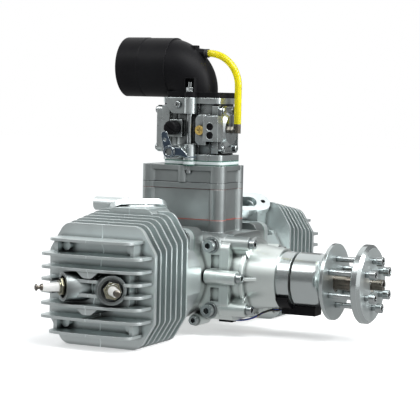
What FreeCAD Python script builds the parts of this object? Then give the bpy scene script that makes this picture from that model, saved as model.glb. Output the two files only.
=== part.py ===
import FreeCAD, Part
import math
import os

# Flat twin two-stroke aircraft engine, in millimetres.
# The origin is the centre of the propeller flange's front face, on the crankshaft's axis.
# The propeller side is -Y, the carburettor is +Z, and the left cylinder lies towards -X.

V = FreeCAD.Vector

# Fits and seats
RUN_GAP = 0.05       # radial, between a turning shaft and its bearing
SLIDE_GAP = 0.06     # radial, between a piston and its bore
SCREW_GAP = 0.1      # radial, between a screw's shank and its hole
SEAT_GAP = 0.02      # radial, between a piece and the hole it is held in
SIDE_GAP = 0.3       # beside a connecting rod's eye, on each side
PIN_END_GAP = 0.05   # between a crank pin's end and the web that it is opened from

# Crankshaft line
ENGINE_Y = 169.0     # middle of the engine, behind the propeller flange
STAGGER = 24.0       # along the crankshaft, between the two cylinders
STROKE = 40.0
ROD_LENGTH = 104.0
ROD_WIDTH = 14.0
WEB_THICKNESS = 9.4
WEB_R = 38.0
WEB_ROOM = 4.5       # radial, between the webs and the crankcase, for the big ends' swing
PIN_R = 10.0         # crank pin
JOURNAL_R = 12.5
BEARING_OUTER_R = 26.0
BEARING_WIDTH = 15.0
NOSE_BEARING_OUTER_R = 21.0
NOSE_BEARING_WIDTH = 14.0
SHAFT_END_R = 5.8    # hollow end ahead of the propeller washer
SHAFT_END_BORE_R = 3.0
SHAFT_END_Y = -52.0
PILOT_R = 8.25       # centres the propeller
HUB_SEAT_R = 10.5    # the shaft's taper under the flange, at its thin end
HUB_SEAT_BACK_R = 12.0
BEARING_SEAT = 9.0   # from the crankcase's end face to a main bearing
NOSE_BEARING_Y = 46.0

# Pistons and connecting rods
PISTON_SKIRT = 34.0
PISTON_WALL = 3.2
PISTON_DOME = 1.6
CROWN_THICKNESS = 7.5
SKIRT_RELIEF_R = 12.0   # cut-outs in the skirt, over the crank webs
WRIST_PIN_R = 7.0
WRIST_PIN_BORE_R = 4.5
WRIST_BOSS_R = 11.0
BOSS_WEB_HALF = 9.0
BOSS_GAP = 1.0
SMALL_END_R = 11.0
BIG_END_R = 15.2
BEAM_HALF = 4.5      # half of the rod's I-beam, along the crankshaft
BEAM_WEB_HALF = 1.6
RING_DEPTH = 2.6
RING_HEIGHT = 1.5
RING_PLACES = (5.0, 10.0)
RING_END_GAP = 0.8

# Propeller flange, washer and their screws
FLANGE_R = 40.0
FLANGE_RIM = 3.5
HUB_R = 28.5
HUB_FLARE = 16.0
HUB_BACK_Y = 40.0
PROPELLER_SPACE = 30.4
WASHER_THICKNESS = 9.5
WASHER_R = 41.0
WASHER_CHAMFER = 3.1
PROP_SCREW_COUNT = 6
PROP_SCREW_CIRCLE_R = 24.0
PROP_SCREW_PROUD = 5.0   # neck that stands out between the washer and the head
MAGNET_Y = 33.0
MAGNET_R = 2.0
MAGNET_LENGTH = 3.0

# Nose and front case
RING_FRONT_Y = 43.0
RING_WIDTH = 14.5
RING_R = 28.5
SPIGOT_R = 25.5
NOSE_R = 31.0        # behind the sensor ring; the nose widens from here to the drum
NOSE_BACK_R = 35.0
NOSE_BORE_R = 20.0
DRUM_FRONT_Y = 89.5
DRUM_R = 39.5
DRUM_RIB_R = 41.5
DRUM_RIB = 3.4       # width of the ribs round the drum's two ends
SPINE_LENGTH = 20.0  # pointed rib ahead of each side screw
SPINE_HALF = 1.6
LEAD_NOTCH_HALF = 4.5  # in the front rib, for the sensor's lead

# Crankcase
CASE_SPAN = 116.0    # along the crankshaft
CASE_HALF_X = 46.0
CASE_HALF_Z = 46.0
CASE_CHAMFER = 16.0
CASE_TOP_CHAMFER = 13.0
CASE_CORNER = 10.0
CASE_BOLT_R = 50.0   # circle of the front case's screws
CASE_BOSS_R = 7.5
CASE_BOSS_REACH = 15.0   # of the screw bosses into the crankcase
DECK_DEPTH = 20.0    # thickness of a cylinder's seat
DECK_NECK_R = 49.0
POCKET_DEPTH = 4.0   # hollows in the case's sides, between the bosses
POCKET_GAP = 2.5     # rib left between a pocket and a boss
POCKET_LENGTH = 10.0
REAR_COVER_THICKNESS = 9.0
REAR_COVER_R = 42.0
REAR_HUB_R = 26.0
REAR_HUB_HEIGHT = 6.0
REAR_RIB_COUNT = 6
REAR_RIB_HALF = 1.5
REAR_MOUNT_X = 38.0
REAR_MOUNT_Z = 44.0
REAR_MOUNT_R = 3.4
REAR_LUG_R = 9.0
REAR_LUG_LENGTH = 22.0
SUMP_LUG_R = 6.5     # lug of the low screw beside the near cylinder

# Cylinders
BORE_R = 33.0
CROWN_TOP = 160.0    # from the crankshaft to the piston crown at top dead centre
DECK_X = 62.0
BASE_GASKET = 0.8
BASE_FLANGE = 9.0
BASE_HALF_Y = 46.0
BASE_TOP_Z = 52.0    # the base is square above and round below
BASE_CORNER = 10.0
BASE_R = 53.0
BASE_UPPER_SCREW = (37.0, 43.0)
BASE_LOWER_SCREW = (30.0, -37.0)
BARREL_R = 51.5
FIN_CORE_R = 44.0
FIN_COUNT = 7
FIN_PITCH = 11.4
FIN_THICKNESS = 2.6
FIN_FIRST_X = 105.7
FACE_THICKNESS = 5.0
FIN_HALF_Y = 59.6
FIN_HALF_Z = 61.0
FIN_RISE = 1.8       # the fins' tops rise by this from each one to the next, towards the crankcase
FIN_SIDE_Z = 34.0    # half of a fin's straight side
FIN_TOP_Y = 43.0     # half of a fin's straight top
FIN_CORNER = 7.0
CHAMBER_R = 25.0
CHAMBER_DEPTH = 13.0
LINER_R = 36.0
LINER_REACH = 8.0    # into the crankcase, past the deck
LINER_GAP = 0.4      # radial, round the liner in the crankcase
FIN_ROUND = 14.0     # rounding of a fin's four slanted corners at top and bottom

# Exhaust port, with its flange set askew on the fins
EXHAUST_CENTRE = (-76.0, 195.0, 73.0)      # middle of the flange's face
EXHAUST_NORMAL = (0.45, 0.45, 0.77)
EXHAUST_HALF_LENGTH = 31.0
EXHAUST_HALF_HEIGHT = 14.0
EXHAUST_FLANGE = 7.0
EXHAUST_STUD = 23.0
EXHAUST_SLOT_HALF = 15.0
EXHAUST_SLOT_R = 7.5
EXHAUST_STUD_R = 2.6
EXHAUST_ROOF_Z = 74.0
LUG_R = 7.2          # round lug beside the left cylinder's exhaust
LUG_PLACE = (-88.0, 75.0)
LUG_SPAN_Y = (200.0, 238.0)

# Head fins, which lie flat
HEAD_FIN_LEVELS = (46.0, 31.0, 18.0, 6.0)
HEAD_FIN_THICKNESS = 2.8
HEAD_FIN_HALF_Y = 57.0
HEAD_FIN_SHORT_HALF_Y = 47.0
HEAD_FIN_REACH = 26.0
HEAD_FIN_BULGE = 4.5
HEAD_FIN_CORNER = 9.0
HEAD_CORE_DEPTH = 14.0
HEAD_GAP_HALF_Y = 40.0   # the two middle fins stop at the plugs' wells
RAIL_Z = 7.0         # rails between the two plug wells
RAIL_HALF = 1.6
RAIL_REACH = 27.0
POST_Y = 43.0        # short posts between the outer fins
POST_REACH = 16.0
POST_HALF = 2.0
HEAD_BOSS_Y = 36.5
HEAD_BOSS_R = 4.6
HEAD_BOSS_REACH = 7.0
GUSSET_HALF_Y = 14.0 # web under the middle of two of the fins
GUSSET_DROP = 8.0
TRANSFER_HALF_Z = 31.0   # swelling of the barrel over the transfer ports
TRANSFER_Y = 55.0

# Spark plugs, two on each head
PLUG_TILT = 40.6     # degrees from the cylinder's axis
PLUG_COLLAR_X = 204.0
PLUG_COLLAR_Y = 29.7 # from the cylinder's centre line, at the top of the hexagon
PLUG_HEX_ACROSS = 16.0
PLUG_HEX_HEIGHT = 8.0
PLUG_SEAT = 2.5      # round collar under the hexagon
PLUG_CRIMP = 1.6     # rolled edge over the ceramic
PLUG_THREAD_R = 5.0
PLUG_THREAD_LENGTH = 15.0
PLUG_CERAMIC_R = 4.9
PLUG_CERAMIC_LENGTH = 18.0
PLUG_TERMINAL_R = 3.3
PLUG_TERMINAL_LENGTH = 7.3
PLUG_WELL_R = 14.5
PLUG_WELL_BORE_R = 11.2

# Intake stack, from the crankcase's neck upwards
BOX_HALF_X = 30.0
BOX_HALF_Y = 49.1
BOX_RECESS = 4.0
COLUMN_R = 9.0
MIDDLE_COLUMN_R = 5.5    # bump on the cover over each middle screw
MIDDLE_LUG_R = 3.6       # lug inside the box round each middle screw
NECK_TOP_Z = 58.3
RED_GASKET = 0.6
REED_HOUSING_HEIGHT = 32.0
SPACER_THICKNESS = 5.9
COVER_HEIGHT = 17.8
BOX_WALL = 5.0
INTAKE_SCREW_R = 2.5
INTAKE_HEAD_DEPTH = 6.0      # counterbore in the intake cover
INTAKE_THREAD = 12.0         # reach of its screws into the crankcase
COVER_RIM = 1.0              # the cover's top plate stands back by this from the columns
COVER_PLATE = 5.0
CARB_BORE_R = 16.0
REED_LENGTH = 62.0
REED_HALF_X = 15.5
REED_TIP_HALF = 1.5
REED_FLANGE = 3.0
REED_LEDGE = 2.0             # the flange rests on this much of the housing
REED_DEPTH = 26.0
REED_WALL = 2.2
REED_END_WALL = 2.5
REED_WINDOWS = 3
PETAL_THICKNESS = 0.6
PETAL_GAP = 0.4

# Carburettor
CARB_HALF_X = 22.0
CARB_FRONT_Y = 130.0
CARB_BACK_Y = 197.0
CARB_HEIGHT = 66.5
CARB_GASKET = 1.1
CARB_INSULATOR = 3.2
CARB_PLATE_HALF_X = 30.0
CARB_PLATE_FRONT_Y = 124.5
CARB_PLATE_BACK_Y = 193.5
CARB_STUD_X = 26.5
CARB_STUD_Y = 8.0    # behind or ahead of the bore's axis
CARB_STUD_R = 2.75
THROTTLE_SHAFT_R = 4.0
THROTTLE_SHAFT_DROP = 9.5   # above the carburettor's base
THROTTLE_PLATE = 1.5
SHAFT_BOSS_R = 7.2
LEVER_X = 57.0
LEVER_THICKNESS = 1.6
CARB_FLANGE = 6.0
COVER_LOW = 8.0      # of the side covers, above the carburettor's base
COVER_HIGH = 58.0
COVER_HALF_X = 21.0
COVER_CORNER = 5.0
COVER_SCREW_INSET = 5.0
COVER_SCREW_LENGTH = 8.5
PUMP_COVER = 6.5
METERING_SHEET = 2.2
METERING_DOME = 3.3
METERING_DOME_R = 19.0
METERING_RIM = 1.6
STUD_LOBE_R = 6.5
STUD_LOBE_HEIGHT = 17.0
MIXTURE_BLOCK_X = 34.0       # reach of the block that carries the two mixture screws
MIXTURE_BLOCK_Y = (124.5, 141.8)
MIXTURE_BLOCK_Z = (142.0, 169.0)
MIXTURE_Y = 134.0
MIXTURE_HIGH_Z = 157.5
MIXTURE_LOW_Z = 148.5
MIXTURE_R = 2.6
MIXTURE_HEAD_R = 3.8
IDLE_Y = 178.5
IDLE_Z = 155.3
IDLE_KNOB_R = 7.4
IDLE_STEM_R = 3.0
IDLE_NOTCHES = 12
BRASS_Y = 147.5
BRASS_Z = 153.5
BRASS_R = 5.0
BRASS_STEM_R = 3.5
FITTING_R = 2.4      # stem of the pressure fitting on the metering cover
CHOKE_SCREW_Y = 175.0
CHOKE_SCREW_DROP = 7.5       # below the carburettor's top
NUT_HEIGHT = 4.7
NUT_ACROSS = 8.0
NUT_COLLAR_R = 5.0

# Intake elbow
ELBOW_FLANGE = 6.0
ELBOW_LEG_R = 24.0
ELBOW_MOUTH_Y = 250.0
ELBOW_WALL = 2.6
ELBOW_BEND_Y = 195.5
ELBOW_TUBE_R = 31.5
ELBOW_STEP = 1.0     # the mouth's tube is this much larger than the bend's end
ELBOW_LIP = 4.0      # the tube's overlap over the bend
ELBOW_SINK = 7.5     # the bend's lower end, below the flange's top
ELBOW_CLEAR = 2.0    # between the bend's inside and its centre of turn
MOUTH_BAND = 25.0    # wider band at the mouth
NIPPLE_Y = 163.0
NIPPLE_END_Y = 153.0
NIPPLE_R = 2.1
NIPPLE_BORE_R = 1.2

# Vent hose
HOSE_R = 3.8
HOSE_BORE_R = 2.2
HOSE_BEND_R = 35.0
HOSE_FRONT_Y = 117.5
HOSE_START_Y = 157.5
HOSE_TOP_Z = 235.4
HOSE_FOOT_Z = 160.5
HOSE_RING_WIDTH = 1.8
HOSE_RING = 0.9

# Sensor under the nose, and its lead
SENSOR_FRONT_Y = 19.5
SENSOR_BOTTOM_Z = -37.0
SENSOR_HALF_X = 9.0
SENSOR_GAP = 0.5
SADDLE_R = 33.0
SADDLE_HALF_X = 26.0
RING_HOLE_R = 1.5
WIRE_R = 0.9
WIRE_SPREAD = 2.1
LEAD_POINTS = ((57.3, -33.6), (76.0, -35.2), (94.0, -45.8), (106.0, -49.0), (116.0, -49.0))
CONNECTOR_LENGTH = 16.0
CONNECTOR_HALF_X = 5.0

# Screw sizes: thread radius, head radius, head height, socket across flats
M8 = (4.0, 6.5, 8.0, 6.0)
M6 = (3.0, 5.0, 6.0, 5.0)
M5 = (2.5, 4.25, 5.0, 4.0)
M4 = (2.0, 3.6, 3.0, 3.0)
WASHER_M8_R = 8.0
WASHER_M8_THICKNESS = 1.6
# Angle and seat of each screw round the front case
FRONT_SCREWS = ((133.0, 84.0), (178.0, 91.0), (220.0, 84.0), (28.0, 84.0), (-8.0, 91.0), (-48.0, 84.0))
FRONT_SCREW_END_Y = 118.0
REAR_SCREW_ANGLES = (0.0, 48.0, 132.0, 180.0, 228.0, 312.0)
REAR_SCREW_R = 35.0      # circle of the rear cover's screws
REAR_SCREW_LENGTH = 20.0
BASE_SCREW_LENGTH = 24.0
CROSS_BOLT_Y = 12.0      # from the crankcase's nearer end face
CROSS_BOLT_Z = 34.0
CROSS_BOLT_LENGTH = 34.0
CROSS_BOSS_R = 9.5
SUMP_SCREW = (-45.0, 140.5, -46.0)
SUMP_LUG_LENGTH = 25.0
SUMP_SCREW_LENGTH = 20.0

# Worked-out places
CRANK_R = STROKE / 2
Y_LEFT = ENGINE_Y + STAGGER / 2
Y_RIGHT = ENGINE_Y - STAGGER / 2
CASE_FRONT_Y = ENGINE_Y - CASE_SPAN / 2
CASE_BACK_Y = ENGINE_Y + CASE_SPAN / 2
CAVITY_R = WEB_R + WEB_ROOM
RING_BACK_Y = RING_FRONT_Y + RING_WIDTH
WASHER_BACK_Y = -PROPELLER_SPACE
WASHER_FRONT_Y = WASHER_BACK_Y - WASHER_THICKNESS
CYLINDER_X = DECK_X + BASE_GASKET
FACE_X = FIN_FIRST_X + (FIN_COUNT - 1) * FIN_PITCH
PISTON_PIN_X = CRANK_R + ROD_LENGTH
REED_BOTTOM_Z = NECK_TOP_Z + RED_GASKET
REED_TOP_Z = REED_BOTTOM_Z + REED_HOUSING_HEIGHT
SPACER_BOTTOM_Z = REED_TOP_Z + RED_GASKET
SPACER_TOP_Z = SPACER_BOTTOM_Z + SPACER_THICKNESS
COVER_BOTTOM_Z = SPACER_TOP_Z + RED_GASKET
COVER_TOP_Z = COVER_BOTTOM_Z + COVER_HEIGHT
CARB_BOTTOM_Z = COVER_TOP_Z + 2 * CARB_GASKET + CARB_INSULATOR
CARB_TOP_Z = CARB_BOTTOM_Z + CARB_HEIGHT
ELBOW_TOP_Z = CARB_TOP_Z + ELBOW_FLANGE
THROTTLE_Z = CARB_BOTTOM_Z + THROTTLE_SHAFT_DROP
PISTON_R = BORE_R - SLIDE_GAP
COVER_Z = (CARB_BOTTOM_Z + COVER_LOW, CARB_BOTTOM_Z + COVER_HIGH)
COVER_MIDDLE_Z = sum(COVER_Z) / 2
METERING_FRONT_Y = CARB_FRONT_Y - METERING_SHEET
MOUTH_Z = ELBOW_TOP_Z - ELBOW_SINK + ELBOW_TUBE_R + ELBOW_CLEAR
REAR_SCREW_SEAT_Y = CASE_BACK_Y + REAR_COVER_THICKNESS


def box(x, y, z):
    """A block between a low and a high value on each axis."""
    return Part.makeBox(x[1] - x[0], y[1] - y[0], z[1] - z[0], V(x[0], y[0], z[0]))


def rod(start, end, radius):
    start = V(*start)
    along = V(*end) - start
    return Part.makeCylinder(radius, along.Length, start, along)


def taper(start, end, start_radius, end_radius):
    start = V(*start)
    along = V(*end) - start
    return Part.makeCone(start_radius, end_radius, along.Length, start, along)


def tube(start, end, outer, inner):
    return rod(start, end, outer).cut(rod(start, end, inner))


def join(shapes):
    whole = shapes[0]
    if len(shapes) > 1:
        whole = whole.fuse(list(shapes[1:]))
    return whole.removeSplitter()


def outline(points, radii):
    """Closed edges through the points, each corner rounded by its own radius."""
    edges = []
    count = len(points)
    corners = []
    for i in range(count):
        before = V(*points[i - 1])
        here = V(*points[i])
        after = V(*points[(i + 1) % count])
        radius = radii[i] if isinstance(radii, (list, tuple)) else radii
        to_before = (before - here).normalize()
        to_after = (after - here).normalize()
        turn = to_before.getAngle(to_after)
        if radius <= 0 or abs(turn - math.pi) < 1e-6:
            corners.append((here, here, here))
            continue
        reach = radius / math.tan(turn / 2)
        middle = (to_before + to_after).normalize()
        centre = here + middle * (radius / math.sin(turn / 2))
        corners.append((here + to_before * reach, centre - middle * radius, here + to_after * reach))
    for i in range(count):
        start, middle, end = corners[i]
        if (end - start).Length > 1e-6:
            edges.append(Part.Arc(start, middle, end).toShape())
        following = corners[(i + 1) % count][0]
        if (following - end).Length > 1e-6:
            edges.append(Part.LineSegment(end, following).toShape())
    return edges


def place_on(axis, level, a, b):
    """A 3-D point from two plane coordinates, on the plane that crosses the axis at a level."""
    if axis == "x":
        return (level, a, b)
    if axis == "y":
        return (a, level, b)
    return (a, b, level)


def plate(axis, low, high, points, radii=0.0):
    """A flat outline pushed out from one level to another along an axis."""
    placed = [place_on(axis, low, a, b) for a, b in points]
    wire = Part.Wire(outline(placed, radii))
    return Part.Face(wire).extrude(V(*place_on(axis, high - low, 0, 0)))


def rectangle(a, b, half_a, half_b):
    low_a, high_a = a - half_a, a + half_a
    low_b, high_b = b - half_b, b + half_b
    return [(low_a, low_b), (high_a, low_b), (high_a, high_b), (low_a, high_b)]


def turned(profile, axis="y", at=(0.0, 0.0)):
    """Solid of revolution: the profile's points are (distance along the axis, radius)."""
    if axis == "y":
        points = [V(at[0] + r, d, at[1]) for d, r in profile]
        line = (V(at[0], 0, at[1]), V(0, 1, 0))
    elif axis == "x":
        points = [V(d, at[0] + r, at[1]) for d, r in profile]
        line = (V(0, at[0], at[1]), V(1, 0, 0))
    else:
        points = [V(at[0] + r, at[1], d) for d, r in profile]
        line = (V(at[0], at[1], 0), V(0, 0, 1))
    face = Part.Face(Part.makePolygon(points + [points[0]]))
    return face.revolve(line[0], line[1], 360)


def turned_round(shape):
    """The same piece on the other cylinder: half a turn about the engine's upright centre line."""
    copy = shape.copy()
    copy.rotate(V(0, ENGINE_Y, 0), V(0, 0, 1), 180)
    return copy


def aimed(shape, base, direction):
    """Moves a piece built along +Z so that it starts at base and runs along direction."""
    copy = shape.copy()
    turn = FreeCAD.Rotation(V(0, 0, 1), V(*direction))
    copy.Placement = FreeCAD.Placement(V(*base), turn).multiply(copy.Placement)
    return copy


def hexagon(across, low, high):
    corner = across / math.sqrt(3)
    return plate("z", low, high, [on_circle(corner, 60 * i) for i in range(6)])


def cap_screw(size, length):
    """Socket screw along -Z, its head's seat at the origin."""
    thread_r, head_r, head_height, across = size
    head = Part.makeCylinder(head_r, head_height)
    socket = hexagon(across, head_height * 0.45, head_height + 1)
    shank = rod((0, 0, -length), (0, 0, 0), thread_r)
    return join([head.cut(socket), shank])


def pan_screw(size, length):
    """Cross-slotted screw with a rounded head along -Z, its head's seat at the origin."""
    thread_r, head_r, head_height = size[:3]
    head = Part.makeCylinder(head_r, head_height)
    head = head.makeFillet(head_height * 0.35, [head.Edges[0]])
    along = (-head_r * 0.55, head_r * 0.55)
    across = (-head_r * 0.16, head_r * 0.16)
    deep = (head_height * 0.5, head_height + 1)
    slots = [box(along, across, deep), box(across, along, deep)]
    shank = rod((0, 0, -length), (0, 0, 0), thread_r)
    return join([head.cut(slots), shank])


def screw_hole(seat, direction, size, length, depth=0.0):
    """Clearance for a screw whose head seats at a point; depth is a counterbore for the head."""
    away = V(*direction)
    away.normalize()
    start = V(*seat)
    hole = Part.makeCylinder(size[0] + SCREW_GAP, length + 1, start + away * 0.5, away * -1)
    if depth > 0:
        return hole.fuse(Part.makeCylinder(size[1] + SCREW_GAP, depth, start, away))
    return hole


# Places that several pieces share
SIDES = (-1, 1)
CORNERS = [(a, b) for a in SIDES for b in SIDES]


def on_circle(radius, degrees):
    """A point on a circle about the crankshaft's axis, as (x, z)."""
    return (radius * math.cos(math.radians(degrees)), radius * math.sin(math.radians(degrees)))


FRONT_SCREW_SEATS = [(on_circle(CASE_BOLT_R, angle), seat) for angle, seat in FRONT_SCREWS]
REAR_SCREW_PLACES = [on_circle(REAR_SCREW_R, a) for a in REAR_SCREW_ANGLES]
PROP_SCREW_ANGLES = [90.0 + 360.0 * i / PROP_SCREW_COUNT for i in range(PROP_SCREW_COUNT)]
PROP_SCREW_PLACES = [on_circle(PROP_SCREW_CIRCLE_R, a) for a in PROP_SCREW_ANGLES]
BASE_SCREW_PLACES = [(a * y, z) for y, z in (BASE_UPPER_SCREW, BASE_LOWER_SCREW) for a in SIDES]
COLUMN_X = BOX_HALF_X - COLUMN_R
COLUMN_Y = BOX_HALF_Y - COLUMN_R
MIDDLE_X = BOX_HALF_X - BOX_RECESS - MIDDLE_LUG_R
MIDDLE_BUMP_X = BOX_HALF_X - MIDDLE_COLUMN_R
COLUMN_PLACES = [(a * COLUMN_X, ENGINE_Y + b * COLUMN_Y) for a, b in CORNERS]
MIDDLE_PLACES = [(a * MIDDLE_X, ENGINE_Y) for a in SIDES]
CARB_STUDS = [(a * CARB_STUD_X, ENGINE_Y + a * CARB_STUD_Y) for a in SIDES]

nodes = {}


def keep(name, *shapes):
    nodes[name] = list(shapes)


# Crankshaft, propeller hub, washer and screws
def web_planes():
    """Y of the faces on each side of both connecting rods."""
    half = ROD_WIDTH / 2 + SIDE_GAP
    return (Y_RIGHT - half, Y_RIGHT + half, Y_LEFT - half, Y_LEFT + half)


def crankshaft():
    """Nose with the front web, the web between the two rods, and the tail."""
    front, mid_front, mid_back, back = web_planes()
    front_web = front - WEB_THICKNESS
    back_web = back + WEB_THICKNESS
    tail_end = CASE_BACK_Y - 4.0
    nose = [
        (SHAFT_END_Y, SHAFT_END_BORE_R), (SHAFT_END_Y, SHAFT_END_R), (WASHER_FRONT_Y, SHAFT_END_R),
        (WASHER_FRONT_Y, PILOT_R), (0, PILOT_R), (0, HUB_SEAT_R), (HUB_BACK_Y, HUB_SEAT_BACK_R),
        (HUB_BACK_Y, JOURNAL_R), (front_web, JOURNAL_R), (front_web, WEB_R), (front, WEB_R), (front, 0),
        (WASHER_BACK_Y, 0), (WASHER_BACK_Y, SHAFT_END_BORE_R),
    ]
    tail = [(back, 0), (back, WEB_R), (back_web, WEB_R), (back_web, JOURNAL_R), (tail_end, JOURNAL_R), (tail_end, 0)]
    middle = rod((0, mid_front, 0), (0, mid_back, 0), WEB_R)
    return turned(nose), middle, turned(tail)


def prop_hub():
    """Flange that sweeps down into a turned hub, hollow behind and tapered onto the shaft."""
    blank = rod((0, 0, 0), (0, HUB_BACK_Y, 0), FLANGE_R)
    rim = V(FLANGE_R, FLANGE_RIM, 0)
    waist = V(HUB_R, HUB_FLARE, 0)
    belly = V(HUB_R + (FLANGE_R - HUB_R) * 0.22, FLANGE_RIM + (HUB_FLARE - FLANGE_RIM) * 0.42, 0)
    back = V(HUB_R, HUB_BACK_Y, 0)
    outer_back = V(FLANGE_R + 5, HUB_BACK_Y, 0)
    outer_rim = V(FLANGE_R + 5, FLANGE_RIM, 0)
    edges = [Part.Arc(rim, belly, waist).toShape()]
    for start, end in ((waist, back), (back, outer_back), (outer_back, outer_rim), (outer_rim, rim)):
        edges.append(Part.LineSegment(start, end).toShape())
    waste = Part.Face(Part.Wire(edges)).revolve(V(0, 0, 0), V(0, 1, 0), 360)
    deep = HUB_BACK_Y - 12
    beyond = HUB_BACK_Y + 1
    hollow = turned([(deep, 0), (deep, SPIGOT_R - 4), (beyond, SPIGOT_R - 1), (beyond, 0)])
    boss = turned([(deep - 0.5, 0), (deep - 0.5, JOURNAL_R + 5), (HUB_BACK_Y, JOURNAL_R + 4), (HUB_BACK_Y, 0)])
    seat = HUB_SEAT_R + SEAT_GAP
    seat_back = HUB_SEAT_BACK_R + SEAT_GAP
    bore = turned([(-1, 0), (-1, seat), (0, seat), (HUB_BACK_Y, seat_back), (beyond, seat_back), (beyond, 0)])
    cuts = [bore, magnet_blank(SEAT_GAP)]
    for x, z in PROP_SCREW_PLACES:
        cuts.append(rod((x, -1, z), (x, HUB_FLARE + 2, z), M6[0] + SCREW_GAP))
    return join([blank.cut(waste).cut(hollow), boss]).cut(cuts)


def magnet_blank(gap=0.0):
    """Magnet pressed into the hub's underside, just below its surface; a gap makes its pocket."""
    low = -HUB_R + 0.2 - 20 * gap
    high = -HUB_R + 0.2 + MAGNET_LENGTH + gap
    return rod((0, MAGNET_Y, high), (0, MAGNET_Y, low), MAGNET_R + gap)


def prop_washer():
    inner = PILOT_R + SEAT_GAP
    lip = 0.8
    profile = [
        (WASHER_BACK_Y, inner), (WASHER_BACK_Y, WASHER_R - lip), (WASHER_BACK_Y - lip, WASHER_R),
        (WASHER_FRONT_Y + WASHER_CHAMFER, WASHER_R), (WASHER_FRONT_Y, WASHER_R - WASHER_CHAMFER),
        (WASHER_FRONT_Y, inner),
    ]
    holes = []
    for x, z in PROP_SCREW_PLACES:
        holes.append(rod((x, WASHER_FRONT_Y - 1, z), (x, WASHER_BACK_Y + 1, z), M6[0] + SCREW_GAP))
    return turned(profile).cut(holes)


def prop_screws():
    seat_y = WASHER_FRONT_Y - PROP_SCREW_PROUD
    reach = HUB_FLARE - seat_y
    screw = cap_screw(M6, reach)
    return [aimed(screw, (x, seat_y, z), (0, -1, 0)) for x, z in PROP_SCREW_PLACES]


def make_crank_line():
    keep("crankshaft", *crankshaft())
    keep("prop_hub", prop_hub())
    keep("prop_washer", prop_washer())
    keep("prop_screws", *prop_screws())
    keep("trigger_magnet", magnet_blank())


# Pistons and connecting rods, built on the left side and turned round for the right
def piston():
    """Domed piston along X: crown, skirt cut out over the crank webs, two bosses and the ring grooves."""
    crown = -CROWN_TOP
    pin_x = -PISTON_PIN_X
    foot = pin_x + PISTON_SKIRT
    axis = (Y_LEFT, 0)
    outside = [(foot, 0), (foot, PISTON_R), (crown + PISTON_DOME, PISTON_R), (crown, PISTON_R - 10), (crown, 0)]
    outer = turned(outside, "x", axis)
    ceiling = crown + CROWN_THICKNESS
    wall_r = PISTON_R - PISTON_WALL
    inside = [(foot + 1, 0), (foot + 1, wall_r), (ceiling + 4, wall_r - 1), (ceiling, PISTON_R - 9), (ceiling, 0)]
    inner = turned(inside, "x", axis)
    reach = PISTON_R - PISTON_WALL / 2
    across = (Y_LEFT - reach, Y_LEFT + reach)
    bosses = rod((pin_x, across[0], 0), (pin_x, across[1], 0), WRIST_BOSS_R)
    bosses = bosses.fuse(box((crown + 6, pin_x), across, (-BOSS_WEB_HALF, BOSS_WEB_HALF)))
    room = ROD_WIDTH / 2 + BOSS_GAP
    bosses = bosses.cut(box((crown, 0), (Y_LEFT - room, Y_LEFT + room), (-BORE_R, BORE_R)))
    body = join([outer.cut(inner), bosses.common(outer)])
    beyond = BORE_R + 4
    cuts = [rod((pin_x, Y_LEFT - beyond, 0), (pin_x, Y_LEFT + beyond, 0), WRIST_PIN_R + SEAT_GAP)]
    cuts.append(rod((foot - 1, Y_LEFT - beyond, 0), (foot - 1, Y_LEFT + beyond, 0), SKIRT_RELIEF_R))
    for place in RING_PLACES:
        low = crown + place
        high = low + RING_HEIGHT + 0.1
        cuts.append(tube((low, Y_LEFT, 0), (high, Y_LEFT, 0), BORE_R + 2, PISTON_R - RING_DEPTH - 0.2))
    return body.cut(cuts)


def piston_rings():
    """Two split rings, each in the middle of its groove."""
    rings = []
    for place in RING_PLACES:
        low = -CROWN_TOP + place + 0.05
        high = low + RING_HEIGHT
        ring = tube((low, Y_LEFT, 0), (high, Y_LEFT, 0), BORE_R - 0.03, PISTON_R - RING_DEPTH)
        half = RING_END_GAP / 2
        rings.append(ring.cut(box((low - 1, high + 1), (Y_LEFT - half, Y_LEFT + half), (20, 40))))
    return rings


def wrist_pin():
    half = PISTON_R - 4.0
    start = (-PISTON_PIN_X, Y_LEFT - half, 0)
    end = (-PISTON_PIN_X, Y_LEFT + half, 0)
    return tube(start, end, WRIST_PIN_R, WRIST_PIN_BORE_R)


def across_rod(x, half):
    """Ends of a line along the crankshaft through the left rod's plane."""
    return (x, Y_LEFT - half, 0), (x, Y_LEFT + half, 0)


def con_rod():
    """Two eyes joined by an I-beam that narrows towards the piston."""
    half = ROD_WIDTH / 2
    crank_x = -CRANK_R
    pin_x = -PISTON_PIN_X
    big = tube(*across_rod(crank_x, half), BIG_END_R, PIN_R + RUN_GAP)
    small = tube(*across_rod(pin_x, half - 0.5), SMALL_END_R, WRIST_PIN_R + RUN_GAP)
    outside = [(crank_x - 12, -9.5), (crank_x - 12, 9.5), (pin_x + 9, 6.5), (pin_x + 9, -6.5)]
    beam = plate("y", Y_LEFT - BEAM_HALF, Y_LEFT + BEAM_HALF, outside)
    hollow = [(crank_x - 20, -5.5), (crank_x - 20, 5.5), (pin_x + 16, 3.2), (pin_x + 16, -3.2)]
    cuts = [rod(*across_rod(crank_x, half), PIN_R + 2), rod(*across_rod(pin_x, half), WRIST_PIN_R + 2)]
    for side in SIDES:
        faces = sorted((Y_LEFT + side * BEAM_WEB_HALF, Y_LEFT + side * half))
        cuts.append(plate("y", faces[0], faces[1], hollow, 2.5))
    return join([big, small, beam.cut(cuts)])


def crank_pin():
    return rod(*across_rod(-CRANK_R, ROD_WIDTH / 2 + SIDE_GAP - PIN_END_GAP), PIN_R)


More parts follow.
